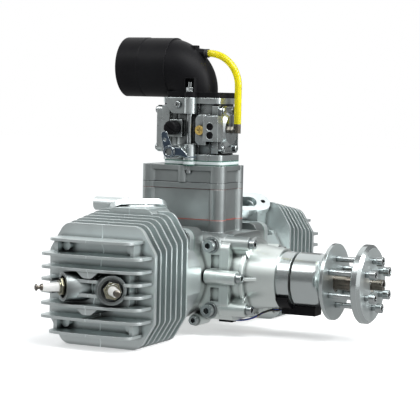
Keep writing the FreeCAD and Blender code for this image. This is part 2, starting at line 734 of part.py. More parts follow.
def make_pistons():
    pieces = {
        "piston": [piston()],
        "piston_rings": piston_rings(),
        "wrist_pin": [wrist_pin()],
        "con_rod": [con_rod()],
        "crank_pin": [crank_pin()],
    }
    for name, shapes in pieces.items():
        keep(name + "_left", *shapes)
        keep(name + "_right", *[turned_round(s) for s in shapes])


# Cylinder with its fins and head in one casting
def fin_outline(rise):
    """Octagon of one fin, as (y, z)."""
    y, z = FIN_HALF_Y, FIN_HALF_Z
    points = [
        (-y, -FIN_SIDE_Z), (-FIN_TOP_Y, -z), (FIN_TOP_Y, -z), (y, -FIN_SIDE_Z),
        (y, FIN_SIDE_Z + rise), (FIN_TOP_Y, z + rise), (-FIN_TOP_Y, z + rise), (-y, FIN_SIDE_Z + rise),
    ]
    return [(Y_LEFT + a, b) for a, b in points]


FIN_RADII = [FIN_CORNER, FIN_ROUND, FIN_ROUND, FIN_CORNER] * 2


def exhaust_frame():
    """Rotation that lays a flat piece built on +Z onto the exhaust flange, long way level."""
    normal = V(*EXHAUST_NORMAL)
    normal.normalize()
    level = V(0, 0, 1).cross(normal)
    level.normalize()
    upright = normal.cross(level)
    return FreeCAD.Rotation(level, upright, normal, "ZXY")


def on_exhaust(shape):
    copy = shape.copy()
    copy.Placement = FreeCAD.Placement(V(*EXHAUST_CENTRE), exhaust_frame()).multiply(copy.Placement)
    return copy


def exhaust_port():
    """Roof over the port in the fins, and the flange on its end."""
    half = EXHAUST_HALF_HEIGHT
    flange = plate("z", -EXHAUST_FLANGE, 0, rectangle(0, 0, EXHAUST_HALF_LENGTH, half), half - 0.5)
    neck_half = EXHAUST_SLOT_HALF + 7
    neck = plate("z", -26, -EXHAUST_FLANGE + 1, rectangle(0, 0, neck_half, half - 1.5), half - 3)
    roof_points = [
        (Y_LEFT - 27, 20), (Y_LEFT - 31, 60), (Y_LEFT - 22, EXHAUST_ROOF_Z),
        (Y_LEFT + 22, EXHAUST_ROOF_Z), (Y_LEFT + 31, 60), (Y_LEFT + 27, 20),
    ]
    roof = plate("x", -118, -78, roof_points, [0, 6, 8, 8, 6, 0])
    return join([on_exhaust(flange), on_exhaust(neck), roof])


def exhaust_cuts():
    slot = plate("z", -24, 1, rectangle(0, 0, EXHAUST_SLOT_HALF, EXHAUST_SLOT_R), EXHAUST_SLOT_R - 0.5)
    studs = [rod((a * EXHAUST_STUD, 0, -14), (a * EXHAUST_STUD, 0, 1), EXHAUST_STUD_R) for a in SIDES]
    passage = rod((-88, Y_LEFT + 7, 60), (-128, Y_LEFT, 22), EXHAUST_SLOT_R + 1)
    return [on_exhaust(slot), passage] + [on_exhaust(s) for s in studs]


def head_fin(level, half):
    """One flat fin that stands out from the head's face."""
    root = FACE_X - 1.0
    tip = FACE_X + HEAD_FIN_REACH
    bulge = tip + HEAD_FIN_BULGE
    points = [
        (-root, Y_LEFT - half), (-tip, Y_LEFT - half), (-bulge, Y_LEFT - half * 0.35),
        (-bulge, Y_LEFT + half * 0.35), (-tip, Y_LEFT + half), (-root, Y_LEFT + half),
    ]
    radii = [0, HEAD_FIN_CORNER, 30, 30, HEAD_FIN_CORNER, 0]
    return plate("z", level - HEAD_FIN_THICKNESS / 2, level + HEAD_FIN_THICKNESS / 2, points, radii)


def head_fins():
    """Eight flat fins; the middle two stop at the plugs' wells, and two of the others have a web below."""
    fins = []
    for i, level in enumerate(HEAD_FIN_LEVELS):
        half = HEAD_FIN_SHORT_HALF_Y if i == 0 else HEAD_FIN_HALF_Y
        fins += [head_fin(side * level, half) for side in SIDES]
    beyond = FACE_X + HEAD_FIN_REACH + HEAD_FIN_BULGE + 1
    gap_z = HEAD_FIN_LEVELS[3] + HEAD_FIN_THICKNESS
    gap_y = (Y_LEFT - HEAD_GAP_HALF_Y, Y_LEFT + HEAD_GAP_HALF_Y)
    gap = box((-beyond, -FACE_X - HEAD_CORE_DEPTH), gap_y, (-gap_z, gap_z))
    fins = [fin.cut(gap) for fin in fins]
    for level in (HEAD_FIN_LEVELS[2], -HEAD_FIN_LEVELS[2]):
        low = level - GUSSET_DROP
        points = [
            (Y_LEFT - GUSSET_HALF_Y, level), (Y_LEFT + GUSSET_HALF_Y, level),
            (Y_LEFT + GUSSET_HALF_Y / 3, low), (Y_LEFT - GUSSET_HALF_Y / 3, low),
        ]
        fins.append(plate("x", -beyond + 3, -FACE_X, points, [0, 0, 6, 6]))
    return fins


def head_details():
    """Core between the wells with its two rails, and posts and round bosses between the outer fins."""
    parts = [plate("x", -FACE_X - HEAD_CORE_DEPTH, -FACE_X + 2, rectangle(Y_LEFT, 0, 40, 19), 6)]
    low, high = HEAD_FIN_LEVELS[1], HEAD_FIN_LEVELS[0]
    root = -FACE_X + 1
    for a in SIDES:
        rail = (a * RAIL_Z - RAIL_HALF, a * RAIL_Z + RAIL_HALF)
        parts.append(box((-FACE_X - RAIL_REACH, root), (Y_LEFT - 30, Y_LEFT + 32), rail))
    for a, b in CORNERS:
        post_y = Y_LEFT + a * POST_Y
        levels = sorted((b * low, b * high))
        parts.append(box((-FACE_X - POST_REACH, root), (post_y - POST_HALF, post_y + POST_HALF), levels))
        y, z = Y_LEFT + a * HEAD_BOSS_Y, b * (low + high) / 2
        parts.append(rod((root, y, z), (-FACE_X - HEAD_BOSS_REACH, y, z), HEAD_BOSS_R))
    return parts


def plug_axis(side):
    """Collar point and outward direction of one spark plug; side is -1 towards the propeller."""
    tilt = math.radians(PLUG_TILT)
    collar = (-PLUG_COLLAR_X, Y_LEFT + side * PLUG_COLLAR_Y, 0.0)
    return collar, (-math.cos(tilt), side * math.sin(tilt), 0.0)


def along(base, direction, distance):
    return tuple(b + d * distance for b, d in zip(base, direction))


def transfer_swelling():
    """Flat-sided swelling of the barrel over the transfer ports, between the base and the first fin."""
    low_x, high_x = -FIN_FIRST_X + 1, -CYLINDER_X - 1
    shoulder = TRANSFER_HALF_Z * 0.45
    points = []
    for a in (1, -1):
        points += [(-TRANSFER_Y * a, -shoulder * a), (-TRANSFER_Y * a, shoulder * a)]
        y, z = TRANSFER_Y * 0.72 * a, TRANSFER_HALF_Z * 1.3 * a
        points += [(-y, z), (y, z)]
    return plate("x", low_x, high_x, [(Y_LEFT + a, b) for a, b in points], 4.0)


def cylinder():
    """Base flange, barrel, seven fins, exhaust port and head in one casting."""
    base_x = -CYLINDER_X - BASE_FLANGE
    parts = [base_plate(base_x, -CYLINDER_X)]
    parts.append(rod((-CYLINDER_X, Y_LEFT, 0), (-FIN_FIRST_X, Y_LEFT, 0), BARREL_R))
    parts.append(rod((-FIN_FIRST_X + 3, Y_LEFT, 0), (-FACE_X + 1, Y_LEFT, 0), FIN_CORE_R))
    parts.append(tube((-CYLINDER_X + LINER_REACH, Y_LEFT, 0), (-CYLINDER_X - 1, Y_LEFT, 0), LINER_R, BORE_R))
    parts.append(transfer_swelling())
    for i in range(FIN_COUNT):
        x = -FIN_FIRST_X - i * FIN_PITCH
        thickness = FACE_THICKNESS if i == FIN_COUNT - 1 else FIN_THICKNESS
        rise = (FIN_COUNT - 1 - i) * FIN_RISE
        parts.append(plate("x", x, x + thickness, fin_outline(rise), FIN_RADII))
    parts.append(exhaust_port())
    parts += head_fins()
    parts += head_details()
    bores = []
    for side in SIDES:
        collar, out = plug_axis(side)
        parts.append(rod(along(collar, out, -34), along(collar, out, -3.0), PLUG_WELL_R))
        seat = -PLUG_HEX_HEIGHT - PLUG_SEAT
        bores.append(rod(along(collar, out, seat), along(collar, out, 20), PLUG_WELL_BORE_R))
        bores.append(rod(along(collar, out, -52), along(collar, out, 0), PLUG_THREAD_R + SCREW_GAP))
    body = join(parts)
    chamber_end = -CROWN_TOP - CHAMBER_DEPTH
    cuts = [rod((0, Y_LEFT, 0), (-CROWN_TOP - 1.0, Y_LEFT, 0), BORE_R)]
    cuts.append(rod((-CROWN_TOP, Y_LEFT, 0), (chamber_end, Y_LEFT, 0), CHAMBER_R))
    cuts += bores
    cuts += exhaust_cuts()
    for y, z in BASE_SCREW_PLACES:
        seat = (base_x, Y_LEFT + y, z)
        cuts.append(rod(seat, (base_x - BASE_SCREW_LENGTH, Y_LEFT + y, z), WASHER_M8_R + 0.6))
        cuts.append(screw_hole(seat, (-1, 0, 0), M8, BASE_SCREW_LENGTH))
    return body.cut(cuts).removeSplitter()


def base_plate(low, high):
    """Flange at the foot of the left cylinder, which its gasket and its seat match."""
    middle = BASE_TOP_Z / 2 - BASE_CORNER / 2
    square = plate("x", low, high, rectangle(Y_LEFT, middle, BASE_HALF_Y, BASE_TOP_Z - middle), BASE_CORNER)
    return join([square, rod((low, Y_LEFT, 0), (high, Y_LEFT, 0), BASE_R)])


def base_gasket():
    sheet = base_plate(-CYLINDER_X, -DECK_X)
    inside, outside = -DECK_X + 1, -CYLINDER_X - 1
    cuts = [rod((inside, Y_LEFT, 0), (outside, Y_LEFT, 0), LINER_R + LINER_GAP)]
    for y, z in BASE_SCREW_PLACES:
        cuts.append(rod((inside, Y_LEFT + y, z), (outside, Y_LEFT + y, z), M8[0] + SCREW_GAP))
    return sheet.cut(cuts)


def base_screws():
    screw = cap_screw(M8, BASE_SCREW_LENGTH)
    seat_x = -CYLINDER_X - BASE_FLANGE - WASHER_M8_THICKNESS
    return [aimed(screw, (seat_x, Y_LEFT + y, z), (-1, 0, 0)) for y, z in BASE_SCREW_PLACES]


def base_washers():
    low = -CYLINDER_X - BASE_FLANGE
    high = low - WASHER_M8_THICKNESS
    places = [(Y_LEFT + y, z) for y, z in BASE_SCREW_PLACES]
    return [tube((low, y, z), (high, y, z), WASHER_M8_R, M8[0] + SCREW_GAP) for y, z in places]


def spark_plug(side):
    """Shell, ceramic and terminal of one plug on the left head."""
    collar, out = plug_axis(side)
    seat = -PLUG_HEX_HEIGHT - PLUG_SEAT
    core_r = PLUG_CERAMIC_R - 1.5
    core_end = (0, 0, -PLUG_HEX_HEIGHT - PLUG_THREAD_LENGTH)
    shell = join([
        hexagon(PLUG_HEX_ACROSS, -PLUG_HEX_HEIGHT, 0),
        rod((0, 0, seat), (0, 0, -PLUG_HEX_HEIGHT), PLUG_HEX_ACROSS / 2),
        rod((0, 0, seat - PLUG_THREAD_LENGTH), (0, 0, -PLUG_HEX_HEIGHT), PLUG_THREAD_R),
        rod((0, 0, 0), (0, 0, PLUG_CRIMP), PLUG_CERAMIC_R + PLUG_CRIMP),
    ])
    hollow = rod(core_end, (0, 0, 2), core_r)
    shell = shell.cut([hollow, rod((0, 0, -4), (0, 0, 2), PLUG_CERAMIC_R + SEAT_GAP)])
    foot = PLUG_CERAMIC_LENGTH
    core = join([
        rod(core_end, (0, 0, 0), core_r - SEAT_GAP),
        rod((0, 0, -4), (0, 0, 0.1), PLUG_CERAMIC_R),
        taper((0, 0, 0), (0, 0, foot), PLUG_CERAMIC_R, PLUG_CERAMIC_R - 0.8),
    ])
    top = foot + PLUG_TERMINAL_LENGTH
    full = PLUG_TERMINAL_R
    waist = full - 1.5
    profile = [
        (foot, 0), (foot, full), (foot + 1.6, full), (foot + 2.6, waist), (top - 2.6, waist),
        (top - 1.8, full), (top - 0.6, full), (top, full - 0.8), (top, 0),
    ]
    return [aimed(s, collar, out) for s in (shell, core, turned(profile, "z"))]


def make_cylinders():
    left = cylinder()
    lug_x, lug_z = LUG_PLACE
    lug = rod((lug_x, LUG_SPAN_Y[0], lug_z), (lug_x, LUG_SPAN_Y[1], lug_z), LUG_R)
    keep("cylinder_left", join([left, lug]))
    keep("cylinder_right", turned_round(left))
    gasket = base_gasket()
    keep("base_gaskets", gasket, turned_round(gasket))
    screws = base_screws()
    keep("cylinder_screws", *screws, *[turned_round(s) for s in screws])
    plugs = [spark_plug(-1), spark_plug(1)]
    for i, name in enumerate(("plug_shells", "plug_insulators", "plug_terminals")):
        pieces = [p[i] for p in plugs]
        keep(name, *pieces, *[turned_round(p) for p in pieces])


# Crankcase, front case and rear cover
def on_both(shape):
    return [shape, turned_round(shape)]


def column_block(low, high, inset=BOX_RECESS):
    """Rounded box with a column at each corner."""
    parts = [plate("z", low, high, rectangle(0, ENGINE_Y, BOX_HALF_X - inset, BOX_HALF_Y - inset), 3.0)]
    parts += [rod((x, y, low), (x, y, high), COLUMN_R) for x, y in COLUMN_PLACES]
    return join(parts)


def box_hollow(low, high):
    """Inside of the intake stack, without the lugs round the two middle screws."""
    half_x = BOX_HALF_X - BOX_RECESS - BOX_WALL
    inside = plate("z", low, high, rectangle(0, ENGINE_Y, half_x, BOX_HALF_Y - 2 * COLUMN_R), 4.0)
    return inside.cut([rod((x, y, low), (x, y, high), MIDDLE_LUG_R) for x, y in MIDDLE_PLACES])


def intake_holes(low, high, radius):
    return [rod((x, y, low), (x, y, high), radius) for x, y in COLUMN_PLACES + MIDDLE_PLACES]


def cross_bolt_seats():
    """Side, and seat of each of the four bolts across the case."""
    places = [(-1, CASE_FRONT_Y + CROSS_BOLT_Y), (1, CASE_BACK_Y - CROSS_BOLT_Y)]
    return [(sign, (sign * CASE_HALF_X, y, z)) for sign, y in places for z in (-CROSS_BOLT_Z, CROSS_BOLT_Z)]


def case_plate(low, high):
    """The case's outline, with slanted corners."""
    a, b = CASE_HALF_X, CASE_HALF_Z
    down, up = CASE_CHAMFER, CASE_TOP_CHAMFER
    points = [
        (-a, down - b), (down - a, -b), (a - down, -b), (a, down - b),
        (a, b - up), (a - up, b), (up - a, b), (-a, b - up),
    ]
    return plate("y", low, high, points, CASE_CORNER)


def side_pockets():
    """Hollows in the left side of the case, between the middle screw's boss and the two bolts' bosses."""
    low, high = CASE_BOSS_R + POCKET_GAP, CROSS_BOLT_Z - CROSS_BOSS_R
    along_y = (CASE_FRONT_Y + POCKET_GAP, CASE_FRONT_Y + POCKET_GAP + POCKET_LENGTH)
    deep = (-CASE_HALF_X - 1, POCKET_DEPTH - CASE_HALF_X)
    return [box(deep, along_y, span) for span in ((low, high), (-high, -low))]


def case_parts():
    """Everything that is added together to make the crankcase."""
    neck = rod((0, Y_LEFT, 0), (-DECK_X, Y_LEFT, 0), DECK_NECK_R)
    seat = join([base_plate(DECK_DEPTH - DECK_X, -DECK_X), neck])
    x, y, z = SUMP_SCREW
    lug = rod(SUMP_SCREW, (x + SUMP_LUG_LENGTH, y, z), SUMP_LUG_R)
    parts = [case_plate(CASE_FRONT_Y, CASE_BACK_Y), column_block(30.0, NECK_TOP_Z)]
    parts += on_both(seat) + on_both(lug)
    for (x, z), seat_y in FRONT_SCREW_SEATS:
        parts.append(rod((x, CASE_FRONT_Y, z), (x, CASE_FRONT_Y + CASE_BOSS_REACH, z), CASE_BOSS_R))
    for sign, (x, y, z) in cross_bolt_seats():
        parts.append(rod((sign * 20, y, z), (x, y, z), CROSS_BOSS_R))
    for a, b in CORNERS:
        x, z = a * REAR_MOUNT_X, b * REAR_MOUNT_Z
        parts.append(rod((x, CASE_BACK_Y - REAR_LUG_LENGTH, z), (x, CASE_BACK_Y, z), REAR_LUG_R))
    return parts


def case_screw_cuts():
    """Holes for every screw that ends in the crankcase."""
    cuts = intake_holes(NECK_TOP_Z - INTAKE_THREAD - 2, NECK_TOP_Z + 1, INTAKE_SCREW_R + SCREW_GAP)
    for y, z in BASE_SCREW_PLACES:
        hole = rod((-DECK_X - 1, Y_LEFT + y, z), (16 - DECK_X, Y_LEFT + y, z), M8[0] + SCREW_GAP)
        cuts += on_both(hole)
    for (x, z), seat_y in FRONT_SCREW_SEATS:
        cuts.append(rod((x, CASE_FRONT_Y - 1, z), (x, FRONT_SCREW_END_Y + 0.5, z), M6[0] + SCREW_GAP))
    for x, z in REAR_SCREW_PLACES:
        cuts.append(rod((x, CASE_BACK_Y + 1, z), (x, CASE_BACK_Y - 13, z), M6[0] + SCREW_GAP))
    for sign, seat in cross_bolt_seats():
        cuts.append(screw_hole(seat, (sign, 0, 0), M8, CROSS_BOLT_LENGTH))
        cuts.append(rod(seat, along(seat, (sign, 0, 0), 14), WASHER_M8_R + 0.6))
    for a, b in CORNERS:
        x, z = a * REAR_MOUNT_X, b * REAR_MOUNT_Z
        cuts.append(rod((x, CASE_BACK_Y + 1, z), (x, CASE_BACK_Y - 16, z), REAR_MOUNT_R))
    x, y, z = SUMP_SCREW
    cuts += on_both(rod((x - 1, y, z), (x + SUMP_SCREW_LENGTH + 0.5, y, z), M6[0] + SCREW_GAP))
    cuts += on_both(rod((x - 12, y, z), (x, y, z), M6[1] + 0.6))
    return cuts


def crankcase():
    whole = join(case_parts()).common(box((-DECK_X, DECK_X), (CASE_FRONT_Y, CASE_BACK_Y), (-80, 80)))
    room = 27.0
    cuts = [rod((0, CASE_FRONT_Y + room, 0), (0, CASE_BACK_Y - room, 0), CAVITY_R)]
    for y, side in ((CASE_FRONT_Y, 1), (CASE_BACK_Y, -1)):
        bearing_end = y + side * (BEARING_SEAT + BEARING_WIDTH)
        cuts.append(rod((0, y - side, 0), (0, bearing_end, 0), BEARING_OUTER_R + SEAT_GAP))
        cuts.append(rod((0, y, 0), (0, y + side * 40, 0), JOURNAL_R + 3))
    cuts += on_both(rod((0, Y_LEFT, 0), (-DECK_X - 1, Y_LEFT, 0), LINER_R + LINER_GAP))
    cuts.append(box_hollow(20, NECK_TOP_Z + 1))
    cuts += case_screw_cuts()
    for pocket in side_pockets():
        cuts += on_both(pocket)
    return whole.cut(cuts)


def boss_web(place, seat_y):
    """Web that ties a screw boss to the drum."""
    x, z = place
    reach = math.hypot(x, z)
    web = box((reach * 0.62, reach), (seat_y + 4, CASE_FRONT_Y), (-CASE_BOSS_R + 1, CASE_BOSS_R - 1))
    web.rotate(V(0, 0, 0), V(0, 1, 0), -math.degrees(math.atan2(z, x)))
    return web


def spine(sign):
    """Pointed rib ahead of a side screw."""
    seat_y = max(seat for place, seat in FRONT_SCREWS)
    root = sign * (NOSE_R - 2)
    points = [(root, seat_y), (sign * (CASE_BOLT_R - 3), seat_y + 2), (root, seat_y - SPINE_LENGTH)]
    return plate("z", -SPINE_HALF, SPINE_HALF, points)


def front_case():
    """Nose, drum with a rib round each end, and the flange on the crankcase."""
    rib_end = DRUM_FRONT_Y + DRUM_RIB
    rib_start = CASE_FRONT_Y - DRUM_RIB
    bearing_r = BEARING_OUTER_R + SEAT_GAP
    shell = turned([
        (RING_FRONT_Y + 1, NOSE_BORE_R), (RING_FRONT_Y + 1, SPIGOT_R), (RING_BACK_Y, SPIGOT_R), (RING_BACK_Y, NOSE_R),
        (DRUM_FRONT_Y, NOSE_BACK_R), (DRUM_FRONT_Y, DRUM_RIB_R - 0.8), (DRUM_FRONT_Y + 0.8, DRUM_RIB_R),
        (rib_end, DRUM_RIB_R), (rib_end + 1, DRUM_R), (rib_start - 1, DRUM_R), (rib_start, DRUM_RIB_R),
        (CASE_FRONT_Y, DRUM_RIB_R), (CASE_FRONT_Y, bearing_r), (CASE_FRONT_Y - 6, bearing_r),
        (DRUM_FRONT_Y + 2, NOSE_BORE_R),
    ])
    flange = case_plate(CASE_FRONT_Y - 8, CASE_FRONT_Y)
    flange = flange.cut(rod((0, CASE_FRONT_Y - 9, 0), (0, CASE_FRONT_Y + 1, 0), DRUM_R - 6))
    parts = [shell, flange] + [spine(sign) for sign in SIDES]
    bearing_end = NOSE_BEARING_Y + NOSE_BEARING_WIDTH
    cuts = [rod((0, NOSE_BEARING_Y, 0), (0, bearing_end, 0), NOSE_BEARING_OUTER_R + SEAT_GAP)]
    for place, seat_y in FRONT_SCREW_SEATS:
        x, z = place
        parts.append(rod((x, seat_y, z), (x, CASE_FRONT_Y, z), CASE_BOSS_R))
        parts.append(boss_web(place, seat_y))
        cuts.append(rod((x, seat_y - 1, z), (x, CASE_FRONT_Y + 1, z), M6[0] + SCREW_GAP))
        cuts.append(rod((x, seat_y - 22, z), (x, seat_y, z), M6[1] + 0.6))
    notch = (-LEAD_NOTCH_HALF, LEAD_NOTCH_HALF)
    cuts.append(box(notch, (DRUM_FRONT_Y - 1, rib_end + 1.2), (-60, -DRUM_R)))
    return join(parts).cut(cuts)


def rear_cover():
    low, high = CASE_BACK_Y, CASE_BACK_Y + REAR_COVER_THICKNESS
    parts = [rod((0, low, 0), (0, high, 0), REAR_COVER_R)]
    parts.append(taper((0, high - 1, 0), (0, high + REAR_HUB_HEIGHT, 0), REAR_HUB_R, REAR_HUB_R - 4))
    parts.append(rod((0, low - 7, 0), (0, low, 0), BEARING_OUTER_R))
    for i in range(REAR_RIB_COUNT):
        rib = box((18, DRUM_R), (high - 1, high + 3), (-REAR_RIB_HALF, REAR_RIB_HALF))
        rib.rotate(V(0, 0, 0), V(0, 1, 0), 24 + i * 360 / REAR_RIB_COUNT)
        parts.append(rib)
    cuts = [rod((0, low - 8, 0), (0, low - 2, 0), JOURNAL_R + 1.5)]
    cuts += [rod((x, low - 1, z), (x, high + 1, z), M6[0] + SCREW_GAP) for x, z in REAR_SCREW_PLACES]
    cuts += [rod((x, high, z), (x, high + 9, z), M6[1] + 1.0) for x, z in REAR_SCREW_PLACES]
    return join(parts).cut(cuts)


def bearings():
    """Needle and ball bearings as plain rings, each with its running clearance on the shaft."""
    places = [
        (CASE_FRONT_Y + BEARING_SEAT, BEARING_WIDTH, BEARING_OUTER_R),
        (CASE_BACK_Y - BEARING_SEAT - BEARING_WIDTH, BEARING_WIDTH, BEARING_OUTER_R),
        (NOSE_BEARING_Y, NOSE_BEARING_WIDTH, NOSE_BEARING_OUTER_R),
    ]
    return [tube((0, y, 0), (0, y + width, 0), outer, JOURNAL_R + RUN_GAP) for y, width, outer in places]


def case_screws():
    """Screws of the front case, of the rear cover and of the two lugs under the case."""
    screws = []
    for (x, z), seat_y in FRONT_SCREW_SEATS:
        screws.append(aimed(cap_screw(M6, FRONT_SCREW_END_Y - seat_y), (x, seat_y, z), (0, -1, 0)))
    rear = cap_screw(M6, REAR_SCREW_LENGTH)
    screws += [aimed(rear, (x, REAR_SCREW_SEAT_Y, z), (0, 1, 0)) for x, z in REAR_SCREW_PLACES]
    return screws + on_both(aimed(cap_screw(M6, SUMP_SCREW_LENGTH), SUMP_SCREW, (-1, 0, 0)))


def make_case():
    keep("crankcase", crankcase())
    keep("front_case", front_case())
    keep("rear_cover", rear_cover())
    keep("main_bearings", *bearings())
    keep("case_screws", *case_screws())
    screw = cap_screw(M8, CROSS_BOLT_LENGTH - 2)
    bolts = []
    washers = base_washers()
    washers += [turned_round(w) for w in washers]
    for sign, seat in cross_bolt_seats():
        proud = along(seat, (sign, 0, 0), WASHER_M8_THICKNESS)
        bolts.append(aimed(screw, proud, (sign, 0, 0)))
        washers.append(tube(seat, proud, WASHER_M8_R, M8[0] + SCREW_GAP))
    keep("cross_bolts", *bolts)
    keep("m8_washers", *washers)


# Reed housing, gaskets, spacer and intake cover


def red_gasket(low):
    sheet = column_block(low, low + RED_GASKET, BOX_RECESS - 0.5)
    holes = intake_holes(low - 1, low + 2, INTAKE_SCREW_R + SCREW_GAP)
    return sheet.cut([box_hollow(low - 1, low + 2)] + holes)


def reed_housing():
    body = column_block(REED_BOTTOM_Z, REED_TOP_Z)
    cuts = [box_hollow(REED_BOTTOM_Z - 1, REED_TOP_Z + 1)]
    cuts += intake_holes(REED_BOTTOM_Z - 1, REED_TOP_Z + 1, INTAKE_SCREW_R + SCREW_GAP)
    cuts.append(reed_flange(REED_TOP_Z - REED_FLANGE, REED_TOP_Z + 1, SCREW_GAP))
    return body.cut(cuts)


def reed_flange(low, high, grow=0.0):
    half_x = BOX_HALF_X - BOX_RECESS - BOX_WALL + REED_LEDGE + grow
    flange = plate("z", low, high, rectangle(0, ENGINE_Y, half_x, REED_LENGTH / 2 + REED_LEDGE + grow), 4.0)
    notch_r = INTAKE_SCREW_R + 1.0 - grow
    return flange.cut([rod((x, y, low - 1), (x, y, high + 1), notch_r) for x, y in MIDDLE_PLACES])


def reed_wedge(half_x, top, depth, half_y):
    tip = REED_TIP_HALF
    points = [(-half_x, top), (half_x, top), (tip, top - depth), (-tip, top - depth)]
    return plate("y", ENGINE_Y - half_y, ENGINE_Y + half_y, points)


def reed_block():
    """Wedge with three windows on each side, hung by its flange in the housing."""
    top = REED_TOP_Z - REED_FLANGE
    body = join([reed_flange(top, REED_TOP_Z), reed_wedge(REED_HALF_X, top, REED_DEPTH, REED_LENGTH / 2)])
    inner_x = REED_HALF_X - REED_WALL
    inner_y = REED_LENGTH / 2 - REED_END_WALL
    cuts = [reed_wedge(inner_x, top, REED_DEPTH - 5, inner_y)]
    cuts.append(box((-inner_x, inner_x), (ENGINE_Y - inner_y, ENGINE_Y + inner_y), (top - 0.5, REED_TOP_Z + 1)))
    across = (-REED_HALF_X - 1, REED_HALF_X + 1)
    for low, high in reed_window_spans(1.5):
        cuts.append(box(across, (low, high), (top - REED_DEPTH + 8, top - 5)))
    return body.cut(cuts)


def reed_window_spans(margin):
    """Span of each window along the crankshaft, less a margin at both ends."""
    first = ENGINE_Y - REED_LENGTH / 2 + REED_END_WALL
    step = (REED_LENGTH - 2 * REED_END_WALL) / REED_WINDOWS
    return [(first + step * i + margin, first + step * (i + 1) - margin) for i in range(REED_WINDOWS)]


def reed_petals():
    top = REED_TOP_Z - REED_FLANGE
    slope = math.atan2(REED_HALF_X - REED_TIP_HALF, REED_DEPTH)
    out_x, out_z = PETAL_THICKNESS * math.cos(slope), -PETAL_THICKNESS * math.sin(slope)
    upper = (REED_HALF_X - math.tan(slope) * 1.5, top - 1.5)
    lower = (REED_TIP_HALF + math.tan(slope) * 2, top - REED_DEPTH + 2)
    points = [upper, lower, (lower[0] + out_x, lower[1] + out_z), (upper[0] + out_x, upper[1] + out_z)]
    petals = []
    for sign in SIDES:
        for low, high in reed_window_spans(PETAL_GAP):
            petals.append(plate("y", low, high, [(sign * a, b) for a, b in points]))
    return petals


def spacer_plate():
    body = column_block(SPACER_BOTTOM_Z, SPACER_TOP_Z, BOX_RECESS - 1.5)
    cuts = intake_holes(SPACER_BOTTOM_Z - 1, SPACER_TOP_Z + 1, INTAKE_SCREW_R + SCREW_GAP)
    cuts.append(box_hollow(SPACER_BOTTOM_Z - 1, SPACER_TOP_Z + 1))
    return body.cut(cuts)


def intake_cover():
    """Closed lid of the stack, with the carburettor's seat and the heads' counterbores in its top."""
    lid = rectangle(0, ENGINE_Y, BOX_HALF_X - COVER_RIM, BOX_HALF_Y - COVER_RIM)
    parts = [column_block(COVER_BOTTOM_Z, COVER_TOP_Z)]
    parts.append(plate("z", COVER_TOP_Z - COVER_PLATE, COVER_TOP_Z, lid, COLUMN_R - COVER_RIM))
    for a in SIDES:
        bump = (a * MIDDLE_BUMP_X, ENGINE_Y)
        parts.append(rod((*bump, COVER_BOTTOM_Z), (*bump, COVER_TOP_Z), MIDDLE_COLUMN_R))
    cuts = [box_hollow(COVER_BOTTOM_Z - 1, COVER_TOP_Z - COVER_PLATE - 2)]
    cuts.append(rod((0, ENGINE_Y, COVER_BOTTOM_Z), (0, ENGINE_Y, COVER_TOP_Z + 1), CARB_BORE_R))
    cuts += intake_holes(COVER_BOTTOM_Z - 1, COVER_TOP_Z + 1, INTAKE_SCREW_R + SCREW_GAP)
    cuts += intake_holes(COVER_TOP_Z - INTAKE_HEAD_DEPTH, COVER_TOP_Z + 1, M5[1] + 0.4)
    for x, y in CARB_STUDS:
        cuts.append(rod((x, y, COVER_TOP_Z - 9), (x, y, COVER_TOP_Z + 1), CARB_STUD_R + SCREW_GAP))
    return join(parts).cut(cuts)


def intake_screws():
    seat = COVER_TOP_Z - INTAKE_HEAD_DEPTH
    screw = cap_screw(M5, seat - NECK_TOP_Z + INTAKE_THREAD)
    return [aimed(screw, (x, y, seat), (0, 0, 1)) for x, y in COLUMN_PLACES + MIDDLE_PLACES]


def make_intake():
    keep("reed_housing", reed_housing())
    keep("intake_gaskets", red_gasket(NECK_TOP_Z), red_gasket(REED_TOP_Z), red_gasket(SPACER_TOP_Z))
    keep("reed_block", reed_block())
    keep("reed_petals", *reed_petals())
    keep("spacer_plate", spacer_plate())
    keep("intake_cover", intake_cover())
    keep("intake_screws", *intake_screws())


# Carburettor


def carb_plate(low, high, front=CARB_PLATE_FRONT_Y, back=CARB_PLATE_BACK_Y, half_x=CARB_PLATE_HALF_X):
    """Two-stud plate that the carburettor's base, its gaskets and the elbow's flange share."""
    middle = (front + back) / 2
    body = plate("z", low, high, rectangle(0, middle, half_x - 6, (back - front) / 2), 5.0)
    parts = [body]
    for x, y in CARB_STUDS:
        side = 1 if x > 0 else -1
        parts.append(rod((x, y, low), (x, y, high), STUD_LOBE_R))
        parts.append(box((min(0, x), max(0, x)), (y - STUD_LOBE_R, y + STUD_LOBE_R), (low, high)))
    return join(parts)


def stud_holes(low, high):
    return [rod((x, y, low), (x, y, high), CARB_STUD_R + SCREW_GAP) for x, y in CARB_STUDS]


def carb_sheet(low, high):
    bore = rod((0, ENGINE_Y, low - 1), (0, ENGINE_Y, high + 1), CARB_BORE_R)
    return carb_plate(low, high).cut([bore] + stud_holes(low - 1, high + 1))


